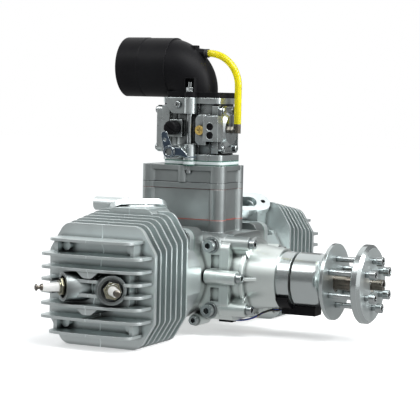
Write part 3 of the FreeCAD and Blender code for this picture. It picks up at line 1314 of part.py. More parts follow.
def carburettor_body():
    base, top = CARB_BOTTOM_Z, CARB_TOP_Z
    parts = [carb_plate(base, base + CARB_FLANGE)]
    parts.append(carb_plate(top - CARB_FLANGE, top, CARB_FRONT_Y - 2, CARB_BACK_Y - 1))
    half_y = (CARB_BACK_Y - CARB_FRONT_Y) / 2
    parts.append(plate("z", base, top, rectangle(0, CARB_FRONT_Y + half_y, 18.5, half_y), 3.0))
    parts.append(rod((0, ENGINE_Y, base), (0, ENGINE_Y, top), 22.0))
    parts.append(box((-CARB_HALF_X, CARB_HALF_X), (CARB_FRONT_Y, CARB_FRONT_Y + 7), COVER_Z))
    parts.append(box((-CARB_HALF_X, CARB_HALF_X), (CARB_BACK_Y - 9, CARB_BACK_Y), COVER_Z))
    for x, y in CARB_STUDS:
        for low, high in ((base, base + STUD_LOBE_HEIGHT), (top - STUD_LOBE_HEIGHT, top)):
            parts.append(rod((x, y, low), (x, y, high), STUD_LOBE_R))
            parts.append(box((min(0, x), max(0, x)), (y - STUD_LOBE_R, y + STUD_LOBE_R), (low, high)))
    # choke boss at the top, left unfitted, with its screw's pad
    pad = [(164, top), (189, top), (189, top - 8), (183, top - 17), (164, top - 17)]
    parts.append(plate("x", -27, -10, pad, [0, 0, 4, 8, 0]))
    x = -MIXTURE_BLOCK_X
    parts.append(box((x, -COVER_HALF_X - SCREW_GAP), MIXTURE_BLOCK_Y, MIXTURE_BLOCK_Z))
    parts.append(box((x, -10), (CARB_FRONT_Y, MIXTURE_BLOCK_Y[1]), MIXTURE_BLOCK_Z))
    parts.append(plate("x", -29, -10, [(141, 138), (153, 138), (153, 170), (141, 170)], [0, 6, 6, 0]))
    parts.append(box((-28, -10), (169.7, 184.0), (146, 164)))
    parts.append(rod((-10, ENGINE_Y, THROTTLE_Z), (-LEVER_X + 14, ENGINE_Y, THROTTLE_Z), SHAFT_BOSS_R))
    parts.append(rod((10, ENGINE_Y, THROTTLE_Z), (30, ENGINE_Y, THROTTLE_Z), SHAFT_BOSS_R))
    parts.append(rod((0, CARB_FRONT_Y + 5, top - 4), (0, CARB_FRONT_Y + 5, top - 1), 2.2))
    whole = join(parts)
    cuts = [rod((0, ENGINE_Y, base - 1), (0, ENGINE_Y, top + 1), CARB_BORE_R)]
    cuts += stud_holes(base - 1, top + 1)
    cuts.append(rod((-60, ENGINE_Y, THROTTLE_Z), (60, ENGINE_Y, THROTTLE_Z), THROTTLE_SHAFT_R + RUN_GAP))
    for z in (MIXTURE_HIGH_Z, MIXTURE_LOW_Z):
        cuts.append(rod((x - 1, MIXTURE_Y, z), (x + 22, MIXTURE_Y, z), MIXTURE_R + RUN_GAP))
        cuts.append(rod((x - 1, MIXTURE_Y, z), (x + 4, MIXTURE_Y, z), MIXTURE_HEAD_R + 0.3))
    cuts.append(rod((-60, IDLE_Y, IDLE_Z), (-16, IDLE_Y, IDLE_Z), IDLE_STEM_R + RUN_GAP))
    cuts.append(rod((-30, BRASS_Y, BRASS_Z), (-24, BRASS_Y, BRASS_Z), BRASS_STEM_R + SCREW_GAP))
    for px, pz in cover_screw_places():
        cuts.append(rod((px, CARB_FRONT_Y - 1, pz), (px, CARB_FRONT_Y + 7, pz), M4[0] + SCREW_GAP))
        cuts.append(rod((px, CARB_BACK_Y + 1, pz), (px, CARB_BACK_Y - 7, pz), M4[0] + SCREW_GAP))
    choke_z = top - CHOKE_SCREW_DROP
    cuts.append(rod((-40, CHOKE_SCREW_Y, choke_z), (-18, CHOKE_SCREW_Y, choke_z), M4[0] + SCREW_GAP))
    return whole.cut(cuts)


def cover_screw_places():
    low, high = COVER_Z
    x = COVER_HALF_X - COVER_SCREW_INSET
    return [(sx * x, z) for sx in (-1, 1) for z in (low + COVER_SCREW_INSET, high - COVER_SCREW_INSET)]


def cover_blank(low, high, inset=0.0):
    half = (COVER_Z[1] - COVER_Z[0]) / 2
    points = rectangle(0, COVER_MIDDLE_Z, COVER_HALF_X - inset, half - inset)
    return plate("y", low, high, points, COVER_CORNER)


def pump_cover():
    back = CARB_BACK_Y + PUMP_COVER
    hole_r = M4[0] + SCREW_GAP
    holes = [rod((x, CARB_BACK_Y - 1, z), (x, back + 14, z), hole_r) for x, z in cover_screw_places()]
    bump_z = IDLE_Z + 4
    bump = rod((0, CARB_BACK_Y, bump_z), (0, back + 2, bump_z), 9.0)
    return join([cover_blank(CARB_BACK_Y, back), bump]).cut(holes)


def metering_cover():
    """Thin pressed cover with a round dome and a raised rim."""
    front = METERING_FRONT_Y
    dome_front = front - METERING_DOME
    profile = [
        (CARB_FRONT_Y, 0), (CARB_FRONT_Y, METERING_DOME_R), (front, METERING_DOME_R),
        (dome_front, METERING_DOME_R - 3.5), (dome_front, 0),
    ]
    dome = turned(profile, "y", (0, COVER_MIDDLE_Z))
    rim = cover_blank(front - METERING_RIM, front).cut(cover_blank(front - METERING_RIM - 1, front + 1, METERING_RIM))
    cuts = [rod((0, front - 8, COVER_MIDDLE_Z), (0, front + 1, COVER_MIDDLE_Z), FITTING_R + SEAT_GAP)]
    for x, z in cover_screw_places():
        cuts.append(rod((x, front - 5, z), (x, CARB_FRONT_Y + 1, z), M4[0] + SCREW_GAP))
        cuts.append(rod((x, front - 8, z), (x, front, z), M4[1] + 0.5))
    return join([cover_blank(front, CARB_FRONT_Y), dome, rim]).cut(cuts)


def cover_screws():
    """Four screws in each side cover, and the one on the choke's pad."""
    screw = pan_screw(M4, COVER_SCREW_LENGTH)
    long_screw = pan_screw(M4, 2 * PUMP_COVER)
    screws = [aimed(screw, (x, METERING_FRONT_Y, z), (0, -1, 0)) for x, z in cover_screw_places()]
    screws += [aimed(long_screw, (x, CARB_BACK_Y + PUMP_COVER, z), (0, 1, 0)) for x, z in cover_screw_places()]
    screws.append(aimed(screw, (-27, CHOKE_SCREW_Y, CARB_TOP_Z - CHOKE_SCREW_DROP), (-1, 0, 0)))
    return screws


def pressure_fitting():
    """Small elbow on the metering cover, with a barb that the hose is pushed over."""
    z = COVER_MIDDLE_Z
    stem = rod((0, METERING_FRONT_Y, z), (0, HOSE_FRONT_Y, z), FITTING_R)
    nut = aimed(hexagon(7.0, 0, 3.5), (0, METERING_FRONT_Y - METERING_DOME, z), (0, -1, 0))
    body = rod((0, HOSE_FRONT_Y, z - 3.6), (0, HOSE_FRONT_Y, HOSE_FOOT_Z), 3.6)
    barb_end = (0, HOSE_FRONT_Y, HOSE_FOOT_Z + 8)
    barb = rod((0, HOSE_FRONT_Y, HOSE_FOOT_Z - 1), barb_end, HOSE_BORE_R - SEAT_GAP)
    return join([stem, nut, body, barb])


def throttle_parts():
    z = THROTTLE_Z
    half = THROTTLE_PLATE / 2
    shaft = rod((-LEVER_X - 1, ENGINE_Y, z), (31, ENGINE_Y, z), THROTTLE_SHAFT_R)
    slot = (z - half - RUN_GAP, z + half + RUN_GAP)
    shaft = shaft.cut(box((-CARB_BORE_R, CARB_BORE_R), (ENGINE_Y - 10, ENGINE_Y + 10), slot))
    disc = rod((0, ENGINE_Y, z - half), (0, ENGINE_Y, z + half), CARB_BORE_R - 0.35)
    low, high = -LEVER_X, -LEVER_X + LEVER_THICKNESS
    up = [(-5.5, -5), (5.5, -5), (10.5, 20), (4.5, 22), (-2, 8)]
    upper = plate("x", low, high, [(ENGINE_Y + a, z + b) for a, b in up], [5, 5, 2.5, 2.5, 4])
    out = [(5, -5.5), (3, 5.5), (-13, 4.5), (-21, -2), (-21, -6), (-11, -3.5)]
    lower = plate("x", low, high, [(ENGINE_Y + a, z + b) for a, b in out], [4, 4, 3, 1, 1, 3])
    tab = box((low, low + 9), (ENGINE_Y - 27, ENGINE_Y - 20.2), (z - 5.6, z - 4.0))
    sleeve = rod((low - 2.5, ENGINE_Y, z), (low + 5, ENGINE_Y, z), THROTTLE_SHAFT_R + 2.2)
    lever = join([upper, lower, tab, sleeve])
    hole = rod((low - 5, ENGINE_Y, z), (low + 9, ENGINE_Y, z), THROTTLE_SHAFT_R + SEAT_GAP)
    cable = rod((low - 3, ENGINE_Y + 5.5, z + 12.5), (low + 5, ENGINE_Y + 5.5, z + 12.5), 1.6)
    return shaft, disc, lever.cut([hole, cable])


def adjuster(y, z):
    """Mixture screw in its block."""
    head_x = 0.6 - MIXTURE_BLOCK_X
    head = rod((head_x, y, z), (head_x + 3.0, y, z), MIXTURE_HEAD_R)
    screw = join([head, rod((head_x, y, z), (head_x + 18, y, z), MIXTURE_R)])
    return screw.cut(box((head_x - 1, head_x + 1.2), (y - 5, y + 5), (z - 0.5, z + 0.5)))


def idle_knob():
    """Notched knob with a slot, on the idle adjuster's stem."""
    full = IDLE_KNOB_R
    profile = [(-40, 0), (-40, full - 1.2), (-38.8, full), (-29, full), (-28.4, full - 1), (-28.4, 0)]
    head = turned(profile, "x", (IDLE_Y, IDLE_Z))
    knob = join([head, rod((-30, IDLE_Y, IDLE_Z), (-17, IDLE_Y, IDLE_Z), IDLE_STEM_R)])
    slot = box((-41, -38.2), (IDLE_Y - 10, IDLE_Y + 10), (IDLE_Z - 0.8, IDLE_Z + 0.8))
    slot.rotate(V(0, IDLE_Y, IDLE_Z), V(1, 0, 0), 35)
    cuts = [slot]
    for i in range(IDLE_NOTCHES):
        notch_y = IDLE_Y + full + 0.5
        notch = rod((-41, notch_y, IDLE_Z), (-28, notch_y, IDLE_Z), 1.0)
        notch.rotate(V(0, IDLE_Y, IDLE_Z), V(1, 0, 0), i * 360 / IDLE_NOTCHES)
        cuts.append(notch)
    return knob.cut(cuts)


def brass_plug():
    """Cross-slotted plug in the carburettor's side."""
    y, z = BRASS_Y, BRASS_Z
    head = rod((-31.2, y, z), (-29, y, z), BRASS_R)
    stem = rod((-30, y, z), (-24.5, y, z), BRASS_STEM_R)
    deep = (-32, -30.3)
    slots = [box(deep, (y - 3, y + 3), (z - 0.6, z + 0.6)), box(deep, (y - 0.6, y + 0.6), (z - 3, z + 3))]
    return join([head, stem]).cut(slots)


def carb_studs():
    top = ELBOW_TOP_Z + NUT_HEIGHT + 5.5
    return [rod((x, y, COVER_TOP_Z - 8.5), (x, y, top), CARB_STUD_R) for x, y in CARB_STUDS]


def carb_nuts():
    nut = join([hexagon(NUT_ACROSS, 0, NUT_HEIGHT), Part.makeCylinder(NUT_COLLAR_R, 1.0)])
    nut = nut.cut(rod((0, 0, -1), (0, 0, NUT_HEIGHT + 1), CARB_STUD_R + SCREW_GAP))
    return [aimed(nut, (x, y, ELBOW_TOP_Z), (0, 0, 1)) for x, y in CARB_STUDS]


def make_carburettor():
    low = COVER_TOP_Z
    keep("carb_gaskets", carb_sheet(low, low + CARB_GASKET), carb_sheet(CARB_BOTTOM_Z - CARB_GASKET, CARB_BOTTOM_Z))
    keep("carb_insulator", carb_sheet(low + CARB_GASKET, CARB_BOTTOM_Z - CARB_GASKET))
    keep("carburettor_body", carburettor_body())
    keep("pump_cover", pump_cover())
    keep("metering_cover", metering_cover())
    keep("carb_screws", *cover_screws())
    keep("pressure_fitting", pressure_fitting())
    shaft, disc, lever = throttle_parts()
    keep("throttle_shaft", shaft)
    keep("throttle_plate", disc)
    keep("throttle_lever", lever)
    keep("mixture_screw_high", adjuster(MIXTURE_Y, MIXTURE_HIGH_Z))
    keep("mixture_screw_low", adjuster(MIXTURE_Y, MIXTURE_LOW_Z))
    keep("idle_knob", idle_knob())
    keep("brass_plug", brass_plug())
    keep("carb_studs", *carb_studs())
    keep("carb_nuts", *carb_nuts())


# Intake elbow and vent hose


def elbow_ring(turn, radius, gap, first):
    """Points round the bend at an angle: 0 lies flat on the flange, 90 faces rearwards."""
    a = math.radians(turn)
    share = turn / 90.0
    r = radius + (ELBOW_TUBE_R - ELBOW_LEG_R) * share
    reach = r + gap + (1 - share) * 0.5
    toward = V(0, -math.cos(a), math.sin(a))
    centre = V(0, ELBOW_BEND_Y, ELBOW_TOP_Z - ELBOW_SINK) + toward * reach
    around = [math.radians(first + 15 * i) for i in range(13)]
    return [centre + V(r * math.cos(b), 0, 0) + toward * (r * math.sin(b)) for b in around]


def elbow_bend(radius, gap):
    """Quarter-turn duct that widens from the flange to the mouth's tube."""
    skins = []
    for first in (-90, 90):
        skin = Part.BSplineSurface()
        skin.interpolate([elbow_ring(turn, radius, gap, first) for turn in range(0, 91, 10)])
        skins.append(skin)
    faces = [skin.toShape() for skin in skins]
    for end in (0.0, 1.0):
        faces.append(Part.Face(Part.Wire([skin.uIso(end).toShape() for skin in skins])))
    shell = Part.makeShell(faces)
    shell.sewShape()
    return Part.makeSolid(shell)


def elbow_solid(inset):
    bend = elbow_bend(ELBOW_LEG_R - inset, ELBOW_CLEAR + inset)
    r = ELBOW_TUBE_R - inset
    start = ELBOW_BEND_Y - ELBOW_LIP
    end = ELBOW_MOUTH_Y + (1 if inset else 0)
    band = ELBOW_MOUTH_Y - MOUTH_BAND
    tube_profile = [
        (start, 0), (start, r + ELBOW_STEP / 2), (band - 1, r + ELBOW_STEP / 2), (band, r + ELBOW_STEP),
        (end, r + ELBOW_STEP), (end, 0),
    ]
    return join([bend, turned(tube_profile, "y", (0, MOUTH_Z))])


def intake_elbow():
    flange = carb_plate(CARB_TOP_Z, ELBOW_TOP_Z, CARB_FRONT_Y - 1, CARB_BACK_Y - 5)
    nipple = rod((0, NIPPLE_Y + 14, HOSE_TOP_Z), (0, NIPPLE_END_Y, HOSE_TOP_Z), NIPPLE_R)
    boss = taper((0, NIPPLE_Y + 14, HOSE_TOP_Z), (0, HOSE_START_Y, HOSE_TOP_Z), 6.5, 4.6)
    tab = plate("y", NIPPLE_Y + 4, NIPPLE_Y + 12, rectangle(0, HOSE_TOP_Z + 5, 5, 3.4), 1.5)
    below = box((-60, 60), (100, 260), (CARB_TOP_Z - 40, CARB_TOP_Z))
    outside = join([elbow_solid(0.0).cut(below), flange, boss, nipple, tab])
    inside = elbow_solid(ELBOW_WALL)
    throat = rod((0, ENGINE_Y, CARB_TOP_Z - 1), (0, ENGINE_Y, ELBOW_TOP_Z + 2), CARB_BORE_R + 2)
    cuts = [inside.common(box((-60, 60), (100, 300), (ELBOW_TOP_Z - 1, 400))), throat]
    cuts.append(rod((0, NIPPLE_Y + 20, HOSE_TOP_Z), (0, NIPPLE_END_Y - 1, HOSE_TOP_Z), NIPPLE_BORE_R))
    cuts += stud_holes(CARB_TOP_Z - 1, ELBOW_TOP_Z + 1)
    for x, y in CARB_STUDS:
        cuts.append(rod((x, y, ELBOW_TOP_Z), (x, y, ELBOW_TOP_Z + 14), 6.0))
    return outside.cut(cuts)


def hose_path():
    start = V(0, HOSE_START_Y, HOSE_TOP_Z)
    turn_start = V(0, HOSE_FRONT_Y + HOSE_BEND_R, HOSE_TOP_Z)
    turn_end = V(0, HOSE_FRONT_Y, HOSE_TOP_Z - HOSE_BEND_R)
    centre = V(0, HOSE_FRONT_Y + HOSE_BEND_R, HOSE_TOP_Z - HOSE_BEND_R)
    slant = math.sqrt(0.5) * HOSE_BEND_R
    middle = centre + V(0, -slant, slant)
    end = V(0, HOSE_FRONT_Y, HOSE_FOOT_Z)
    curves = [Part.LineSegment(start, turn_start), Part.Arc(turn_start, middle, turn_end), Part.LineSegment(turn_end, end)]
    return Part.Wire([curve.toShape() for curve in curves])


def swept(path, radius):
    """Round bar along a path."""
    first = path.Edges[0]
    start = first.FirstParameter
    circle = Part.Circle(first.valueAt(start), first.tangentAt(start), radius)
    return path.makePipeShell([Part.Wire(circle.toShape())], True, False)


def vent_hose():
    path = hose_path()
    outer = swept(path, HOSE_R)
    inner = swept(path, HOSE_BORE_R)
    drawn = round(outer.Volume / (math.pi * HOSE_R ** 2), 1)
    print("vent hose: length", round(path.Length, 1), "bend radius", HOSE_BEND_R, "volume over section", drawn)
    return outer.cut(inner)


def hose_rings():
    places = (HOSE_START_Y - 0.3, HOSE_START_Y - 2.5)
    ends = [((0, y, HOSE_TOP_Z), (0, y - HOSE_RING_WIDTH, HOSE_TOP_Z)) for y in places]
    return [tube(start, end, HOSE_R + HOSE_RING, HOSE_R + SEAT_GAP) for start, end in ends]


def make_elbow():
    keep("intake_elbow", intake_elbow())
    keep("vent_hose", vent_hose())
    keep("hose_rings", *hose_rings())


# Sensor ring, sensor and its lead under the nose


def sensor_ring():
    ring = tube((0, RING_FRONT_Y, 0), (0, RING_BACK_Y, 0), RING_R, SPIGOT_R + SEAT_GAP)
    middle = RING_FRONT_Y + RING_WIDTH / 2
    return ring.cut(rod((0, middle, 20), (0, middle, 40), RING_HOLE_R))


def hall_sensor():
    block = box((-SENSOR_HALF_X, SENSOR_HALF_X), (SENSOR_FRONT_Y, RING_BACK_Y - 0.3), (SENSOR_BOTTOM_Z, -20))
    hub_room = rod((0, 0, 0), (0, RING_FRONT_Y - 0.5, 0), HUB_R + SENSOR_GAP)
    block = block.cut([hub_room, rod((0, RING_FRONT_Y - 1, 0), (0, 90, 0), RING_R + SEAT_GAP)])
    saddle = tube((0, RING_FRONT_Y + 1, 0), (0, RING_BACK_Y - 0.3, 0), SADDLE_R, RING_R + SEAT_GAP)
    saddle = saddle.common(box((-SADDLE_HALF_X, SADDLE_HALF_X), (0, 90), (-60, -18)))
    nose = block.common(box((-20, 20), (0, 90), (-60, -RING_R + 1)))
    return join([nose, saddle]).cut(rod((0, 0, 0), (0, RING_FRONT_Y - 0.6, 0), HUB_R + SENSOR_GAP))


def lead_path(x):
    """Straight runs joined by tangent arcs, along the underside of the nose."""
    points = [V(x, y, z) for y, z in LEAD_POINTS]
    edges = []
    cursor = points[0]
    radii = []
    for i in range(1, len(points) - 1):
        before = points[i - 1] - points[i]
        after = points[i + 1] - points[i]
        shorter = min(before.Length, after.Length)
        turn = math.pi - before.getAngle(after)
        radius = 0.45 * shorter / math.tan(turn / 2)
        reach = 0.45 * shorter
        radii.append(round(radius, 1))
        before.normalize()
        after.normalize()
        start = points[i] + before * reach
        end = points[i] + after * reach
        middle_way = (before + after).normalize()
        middle = points[i] + middle_way * (radius / math.cos(turn / 2) - radius)
        edges.append(Part.LineSegment(cursor, start).toShape())
        edges.append(Part.Arc(start, middle, end).toShape())
        cursor = end
    edges.append(Part.LineSegment(cursor, points[-1]).toShape())
    return Part.Wire(edges), radii


def sensor_wires():
    wires = []
    for x in (-WIRE_SPREAD, 0.0, WIRE_SPREAD):
        path, radii = lead_path(x)
        wires.append(swept(path, WIRE_R))
    drawn = round(wires[0].Volume / (math.pi * WIRE_R ** 2), 1)
    print("sensor wires: length", round(path.Length, 1), "radii", radii, "volume over section", drawn)
    return wires


def lead_connector():
    low, z = LEAD_POINTS[-1]
    return box((-CONNECTOR_HALF_X, CONNECTOR_HALF_X), (low, low + CONNECTOR_LENGTH), (z - 2.6, z + 3.0))


def make_sensor():
    keep("sensor_ring", sensor_ring())
    keep("hall_sensor", hall_sensor())
    keep("sensor_wires", *sensor_wires())
    keep("lead_connector", lead_connector())


def main():
    make_crank_line()
    make_pistons()
    make_cylinders()
    make_case()
    make_intake()
    make_carburettor()
    make_elbow()
    make_sensor()
    os.makedirs("parts", exist_ok=True)
    for name, shapes in nodes.items():
        solids = [solid for shape in shapes for solid in shape.Solids]
        if not solids or not all(solid.isValid() for solid in solids):
            print("not valid:", name)
        kept = solids[0] if len(solids) == 1 else Part.makeCompound(solids)
        kept.exportStep("parts/" + name + ".step")
    print(len(nodes), "nodes,", sum(len(s) for s in nodes.values()), "pieces")


main()
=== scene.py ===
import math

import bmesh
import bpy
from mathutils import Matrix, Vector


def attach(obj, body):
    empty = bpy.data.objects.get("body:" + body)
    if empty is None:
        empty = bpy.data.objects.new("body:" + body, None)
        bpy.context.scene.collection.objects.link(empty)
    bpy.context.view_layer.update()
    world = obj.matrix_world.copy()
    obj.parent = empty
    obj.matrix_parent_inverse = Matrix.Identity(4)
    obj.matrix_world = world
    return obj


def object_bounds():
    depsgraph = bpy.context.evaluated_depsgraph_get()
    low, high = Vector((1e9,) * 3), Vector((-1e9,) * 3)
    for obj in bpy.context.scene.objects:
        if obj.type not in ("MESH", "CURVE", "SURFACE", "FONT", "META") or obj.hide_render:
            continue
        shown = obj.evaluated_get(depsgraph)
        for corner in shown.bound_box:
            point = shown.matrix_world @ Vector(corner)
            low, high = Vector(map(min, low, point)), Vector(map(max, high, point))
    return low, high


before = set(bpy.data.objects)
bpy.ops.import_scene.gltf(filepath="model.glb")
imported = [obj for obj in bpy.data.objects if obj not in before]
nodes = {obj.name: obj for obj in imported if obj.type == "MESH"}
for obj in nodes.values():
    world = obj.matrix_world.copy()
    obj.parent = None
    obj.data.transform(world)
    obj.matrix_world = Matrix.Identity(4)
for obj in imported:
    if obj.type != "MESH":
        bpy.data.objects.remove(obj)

# %% [markdown]
# # A flat twin engine in a studio
#
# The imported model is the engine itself: each casting, screw and shaft is a mesh in metres, in one frame.
# The crankshaft lies along Y with the propeller towards -Y, the carburettor stands on +Z, and the left
# cylinder points towards -X. This notebook gives those meshes their metals, plastics and rubber, adds the
# fine pieces that are too small for a CAD solid, and sets up the camera and the lamps.

MM = 0.001
cad_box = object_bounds()
print("CAD nodes:", len(nodes), "box:", [[round(v, 4) for v in corner] for corner in cad_box])

# %% [markdown]
# ## The camera
#
# The photograph is a long-lens view from the left of the propeller, a little above the crankshaft. Its
# direction, distance and focal length were found from the circles of the flange and the square edges of the
# intake box. A camera can be placed by angles or by a matrix: angles are easier to read, so the camera is
# put on a sphere round a target point, aimed at it, and then rolled by the small tilt of the picture.

# %% Camera at the photograph's angle
CAMERA_AZIMUTH = -64.043
CAMERA_ELEVATION = 3.877
CAMERA_ROLL = 1.237
CAMERA_DISTANCE = 1.69235
CAMERA_TARGET = Vector((0.0, 0.148053, 0.075924))
FOCAL_PIXELS = 1571.0
IMAGE_WIDTH = 420
SENSOR_WIDTH = 36.0


def in_scene(name, data):
    """A new object with this data, linked to the scene."""
    thing = bpy.data.objects.new(name, data)
    bpy.context.scene.collection.objects.link(thing)
    return thing


def outward_at(azimuth, elevation):
    """Unit vector from the engine towards a place given by two angles in degrees."""
    a, e = math.radians(azimuth), math.radians(elevation)
    return Vector((math.sin(a) * math.cos(e), -math.cos(a) * math.cos(e), math.sin(e)))


def facing_in(outward):
    """Turn that points an object's -Z axis against the outward vector and keeps its Y axis up."""
    return (-outward).to_track_quat("-Z", "Y").to_matrix().to_4x4()


def aim_camera():
    data = bpy.data.cameras.new("photo_camera")
    data.sensor_fit = "HORIZONTAL"
    data.sensor_width = SENSOR_WIDTH
    data.lens = FOCAL_PIXELS * SENSOR_WIDTH / IMAGE_WIDTH
    data.clip_end = 50.0
    camera = in_scene("photo_camera", data)
    outward = outward_at(CAMERA_AZIMUTH, CAMERA_ELEVATION)
    place = Matrix.Translation(CAMERA_TARGET + outward * CAMERA_DISTANCE)
    roll = Matrix.Rotation(math.radians(CAMERA_ROLL), 4, "Z")
    camera.matrix_world = place @ facing_in(outward) @ roll
    bpy.context.scene.camera = camera
    return camera


camera = aim_camera()
camera_place = [round(v, 3) for v in camera.matrix_world.translation]
print("camera at", camera_place, "lens", round(camera.data.lens, 1), "mm")

# %% [markdown]
# ## Helpers for shader nodes
#
# A material can be built by clicking or by a script. A script is easy to repeat, but each node takes several
# lines. Two helpers take up what repeats: one makes a node with its settings and its constants, and the other
# empties a tree of Blender's default nodes.

# %% Helpers: nodes


def add(tree, kind, inputs=None, **settings):
    """A new node, with its settings and with constants on inputs given by name or number."""
    node = tree.nodes.new(kind)
    for key, value in settings.items():
        setattr(node, key, value)
    for label, value in (inputs or {}).items():
        node.inputs[label].default_value = value
    return node


def emptied(owner):
    """The node tree of a material or a world, without its default nodes."""
    owner.use_nodes = True
    owner.node_tree.nodes.clear()
    return owner.node_tree


# %% [markdown]
# ## Floor, world and lamps
#
# The engine stands in a white studio. A white cyclorama can be lit to white, but then its light also washes
# out the matt pieces and the shadow. Here the lamps stay at a plain level, and the floor and the world add
# white only for rays that come straight from the camera, from a mirroring face or through a clear piece.
# Matt faces don't get that white and neither does the floor next to the engine, so the shadow stays.

# %% Floor and world
FLOOR_Z = cad_box[0][2]
FLOOR_GAP = 0.0002         # keeps the floor off the faces that stand on it
FLOOR_MIDDLE_Y = 0.15
FLOOR_REACH = 6.0
FLOOR_COLOUR = (0.82, 0.82, 0.82, 1)
FLOOR_LIFT = 0.66          # white that is added far from the engine
FLOOR_LIFT_NEAR = 0.40     # and next to it, where the shadow lies
LIT_REACH = 1.3            # distance from the floor's middle at which the lift is full
ROOM_COLOUR = (0.42, 0.44, 0.45, 1)
WHITE = (1, 1, 1, 1)


def seen_directly(tree):
    """One for rays from the camera, from gloss and through clear pieces, and nought for all others."""
    path = add(tree, "ShaderNodeLightPath")
    first = add(tree, "ShaderNodeMath", operation="MAXIMUM")
    second = add(tree, "ShaderNodeMath", operation="MAXIMUM")
    tree.links.new(path.outputs["Is Camera Ray"], first.inputs[0])
    tree.links.new(path.outputs["Is Glossy Ray"], first.inputs[1])
    tree.links.new(first.outputs[0], second.inputs[0])
    tree.links.new(path.outputs["Is Transmission Ray"], second.inputs[1])
    return second.outputs[0]


def pick_surface(tree, output, unseen, seen):
    """Sends one shader to the rays that seen_directly names and the other to the rest."""
    pick = add(tree, "ShaderNodeMixShader")
    tree.links.new(seen_directly(tree), pick.inputs[0])
    tree.links.new(unseen.outputs[0], pick.inputs[1])
    tree.links.new(seen.outputs[0], pick.inputs[2])
    tree.links.new(pick.outputs[0], output.inputs["Surface"])


def studio_floor():
    mesh = bpy.data.meshes.new("studio_floor")
    build = bmesh.new()
    bmesh.ops.create_grid(build, x_segments=1, y_segments=1, size=FLOOR_REACH)
    build.to_mesh(mesh)
    build.free()
    floor = in_scene("studio_floor", mesh)
    floor.location = (0, FLOOR_MIDDLE_Y, FLOOR_Z - FLOOR_GAP)
    material = bpy.data.materials.new("studio_floor")
    tree = emptied(material)
    out = add(tree, "ShaderNodeOutputMaterial")
    card = add(tree, "ShaderNodeBsdfDiffuse", {"Color": FLOOR_COLOUR})
    lift = add(tree, "ShaderNodeEmission")
    where = add(tree, "ShaderNodeTexCoord")
    away = add(tree, "ShaderNodeVectorMath", operation="LENGTH")
    fade = add(tree, "ShaderNodeMapRange",
               {"From Max": LIT_REACH, "To Min": FLOOR_LIFT_NEAR, "To Max": FLOOR_LIFT},
               interpolation_type="SMOOTHSTEP")
    both = add(tree, "ShaderNodeAddShader")
    tree.links.new(where.outputs["Object"], away.inputs[0])
    tree.links.new(away.outputs["Value"], fade.inputs["Value"])
    tree.links.new(fade.outputs[0], lift.inputs["Strength"])
    tree.links.new(card.outputs[0], both.inputs[0])
    tree.links.new(lift.outputs[0], both.inputs[1])
    pick_surface(tree, out, unseen=card, seen=both)
    mesh.materials.append(material)


def studio_world():
    world = bpy.data.worlds.new("studio")
    tree = emptied(world)
    out = add(tree, "ShaderNodeOutputWorld")
    room = add(tree, "ShaderNodeBackground", {"Color": ROOM_COLOUR})
    white = add(tree, "ShaderNodeBackground", {"Color": WHITE})
    pick_surface(tree, out, unseen=room, seen=white)
    bpy.context.scene.world = world
    bpy.context.scene.view_settings.view_transform = "Standard"


studio_floor()
studio_world()
print("floor at", round(FLOOR_Z, 4))

# %% [markdown]
# Three soft boxes light the engine: a wide one overhead, one at the camera's left that models the fins, and a
# tall one on the right. In an all-white room polished metal looks flat, because it has nothing dark to
# mirror. Photographers stand dark cards just outside the picture for that, and so does this scene: the cards
# are seen only by reflections, and they draw the grey faces and the dark bands on the turned pieces.

# %% Soft boxes and dark cards
ENGINE_MIDDLE = Vector((0.0, 0.12, 0.05))
CARD_GAP = 0.0004          # height of the lowest card over the floor


def around(azimuth, elevation, distance):
    """Place and aim of something that stands on a sphere round the engine and faces it."""
    outward = outward_at(azimuth, elevation)
    return Matrix.Translation(ENGINE_MIDDLE + outward * distance) @ facing_in(outward)


def soft_box(name, place, size, power):
    """A rectangular lamp: place is its azimuth, elevation and distance, and size its width and height."""
    data = bpy.data.lights.new(name, "AREA")
    data.shape = "RECTANGLE"
    data.size, data.size_y = size
    data.energy = power
    lamp = in_scene(name, data)
    lamp.matrix_world = around(*place)
    return lamp


def dark_card(name, place, size, level):
    """A card that only reflections see, with a brightness between black (0) and white (1)."""
    mesh = bpy.data.meshes.new(name)
    wide, high = size[0] / 2, size[1] / 2
    corners = [(-wide, -high, 0), (wide, -high, 0), (wide, high, 0), (-wide, high, 0)]
    mesh.from_pydata(corners, [], [(0, 1, 2, 3)])
    card = in_scene(name, mesh)
    card.matrix_world = around(*place)
    material = bpy.data.materials.new(name)
    tree = emptied(material)
    paint = add(tree, "ShaderNodeEmission", {"Strength": level})
    out = add(tree, "ShaderNodeOutputMaterial")
    tree.links.new(paint.outputs[0], out.inputs["Surface"])
    mesh.materials.append(material)
    card.visible_camera = False
    card.visible_diffuse = False
    card.visible_transmission = False
    card.visible_shadow = False
    return card


CARD_DEPTH = ENGINE_MIDDLE.z - FLOOR_Z - CARD_GAP
lamps = [
    soft_box("overhead_box", place=(-30, 62, 1.4), size=(1.0, 0.6), power=15),
    soft_box("left_box", place=(-125, 40, 1.4), size=(0.5, 0.9), power=5),
    soft_box("right_box", place=(8, 30, 1.3), size=(0.4, 0.9), power=12),
]
cards = [
    dark_card("band_card", place=(-118, 12, 1.2), size=(1.9, 1.1), level=0.20),
    dark_card("camera_card", place=(-60, 16, 2.3), size=(2.4, 2.2), level=0.34),
    dark_card("right_card", place=(64, 10, 0.85), size=(1.7, 1.1), level=0.26),
    dark_card("sky_card", place=(-60, 80, 2.0), size=(1.7, 1.7), level=0.30),
    dark_card("floor_card", place=(0, -90, CARD_DEPTH), size=(2.6, 2.6), level=0.46),
]
print("lamps:", [lamp.name for lamp in lamps], "cards:", [card.name for card in cards])

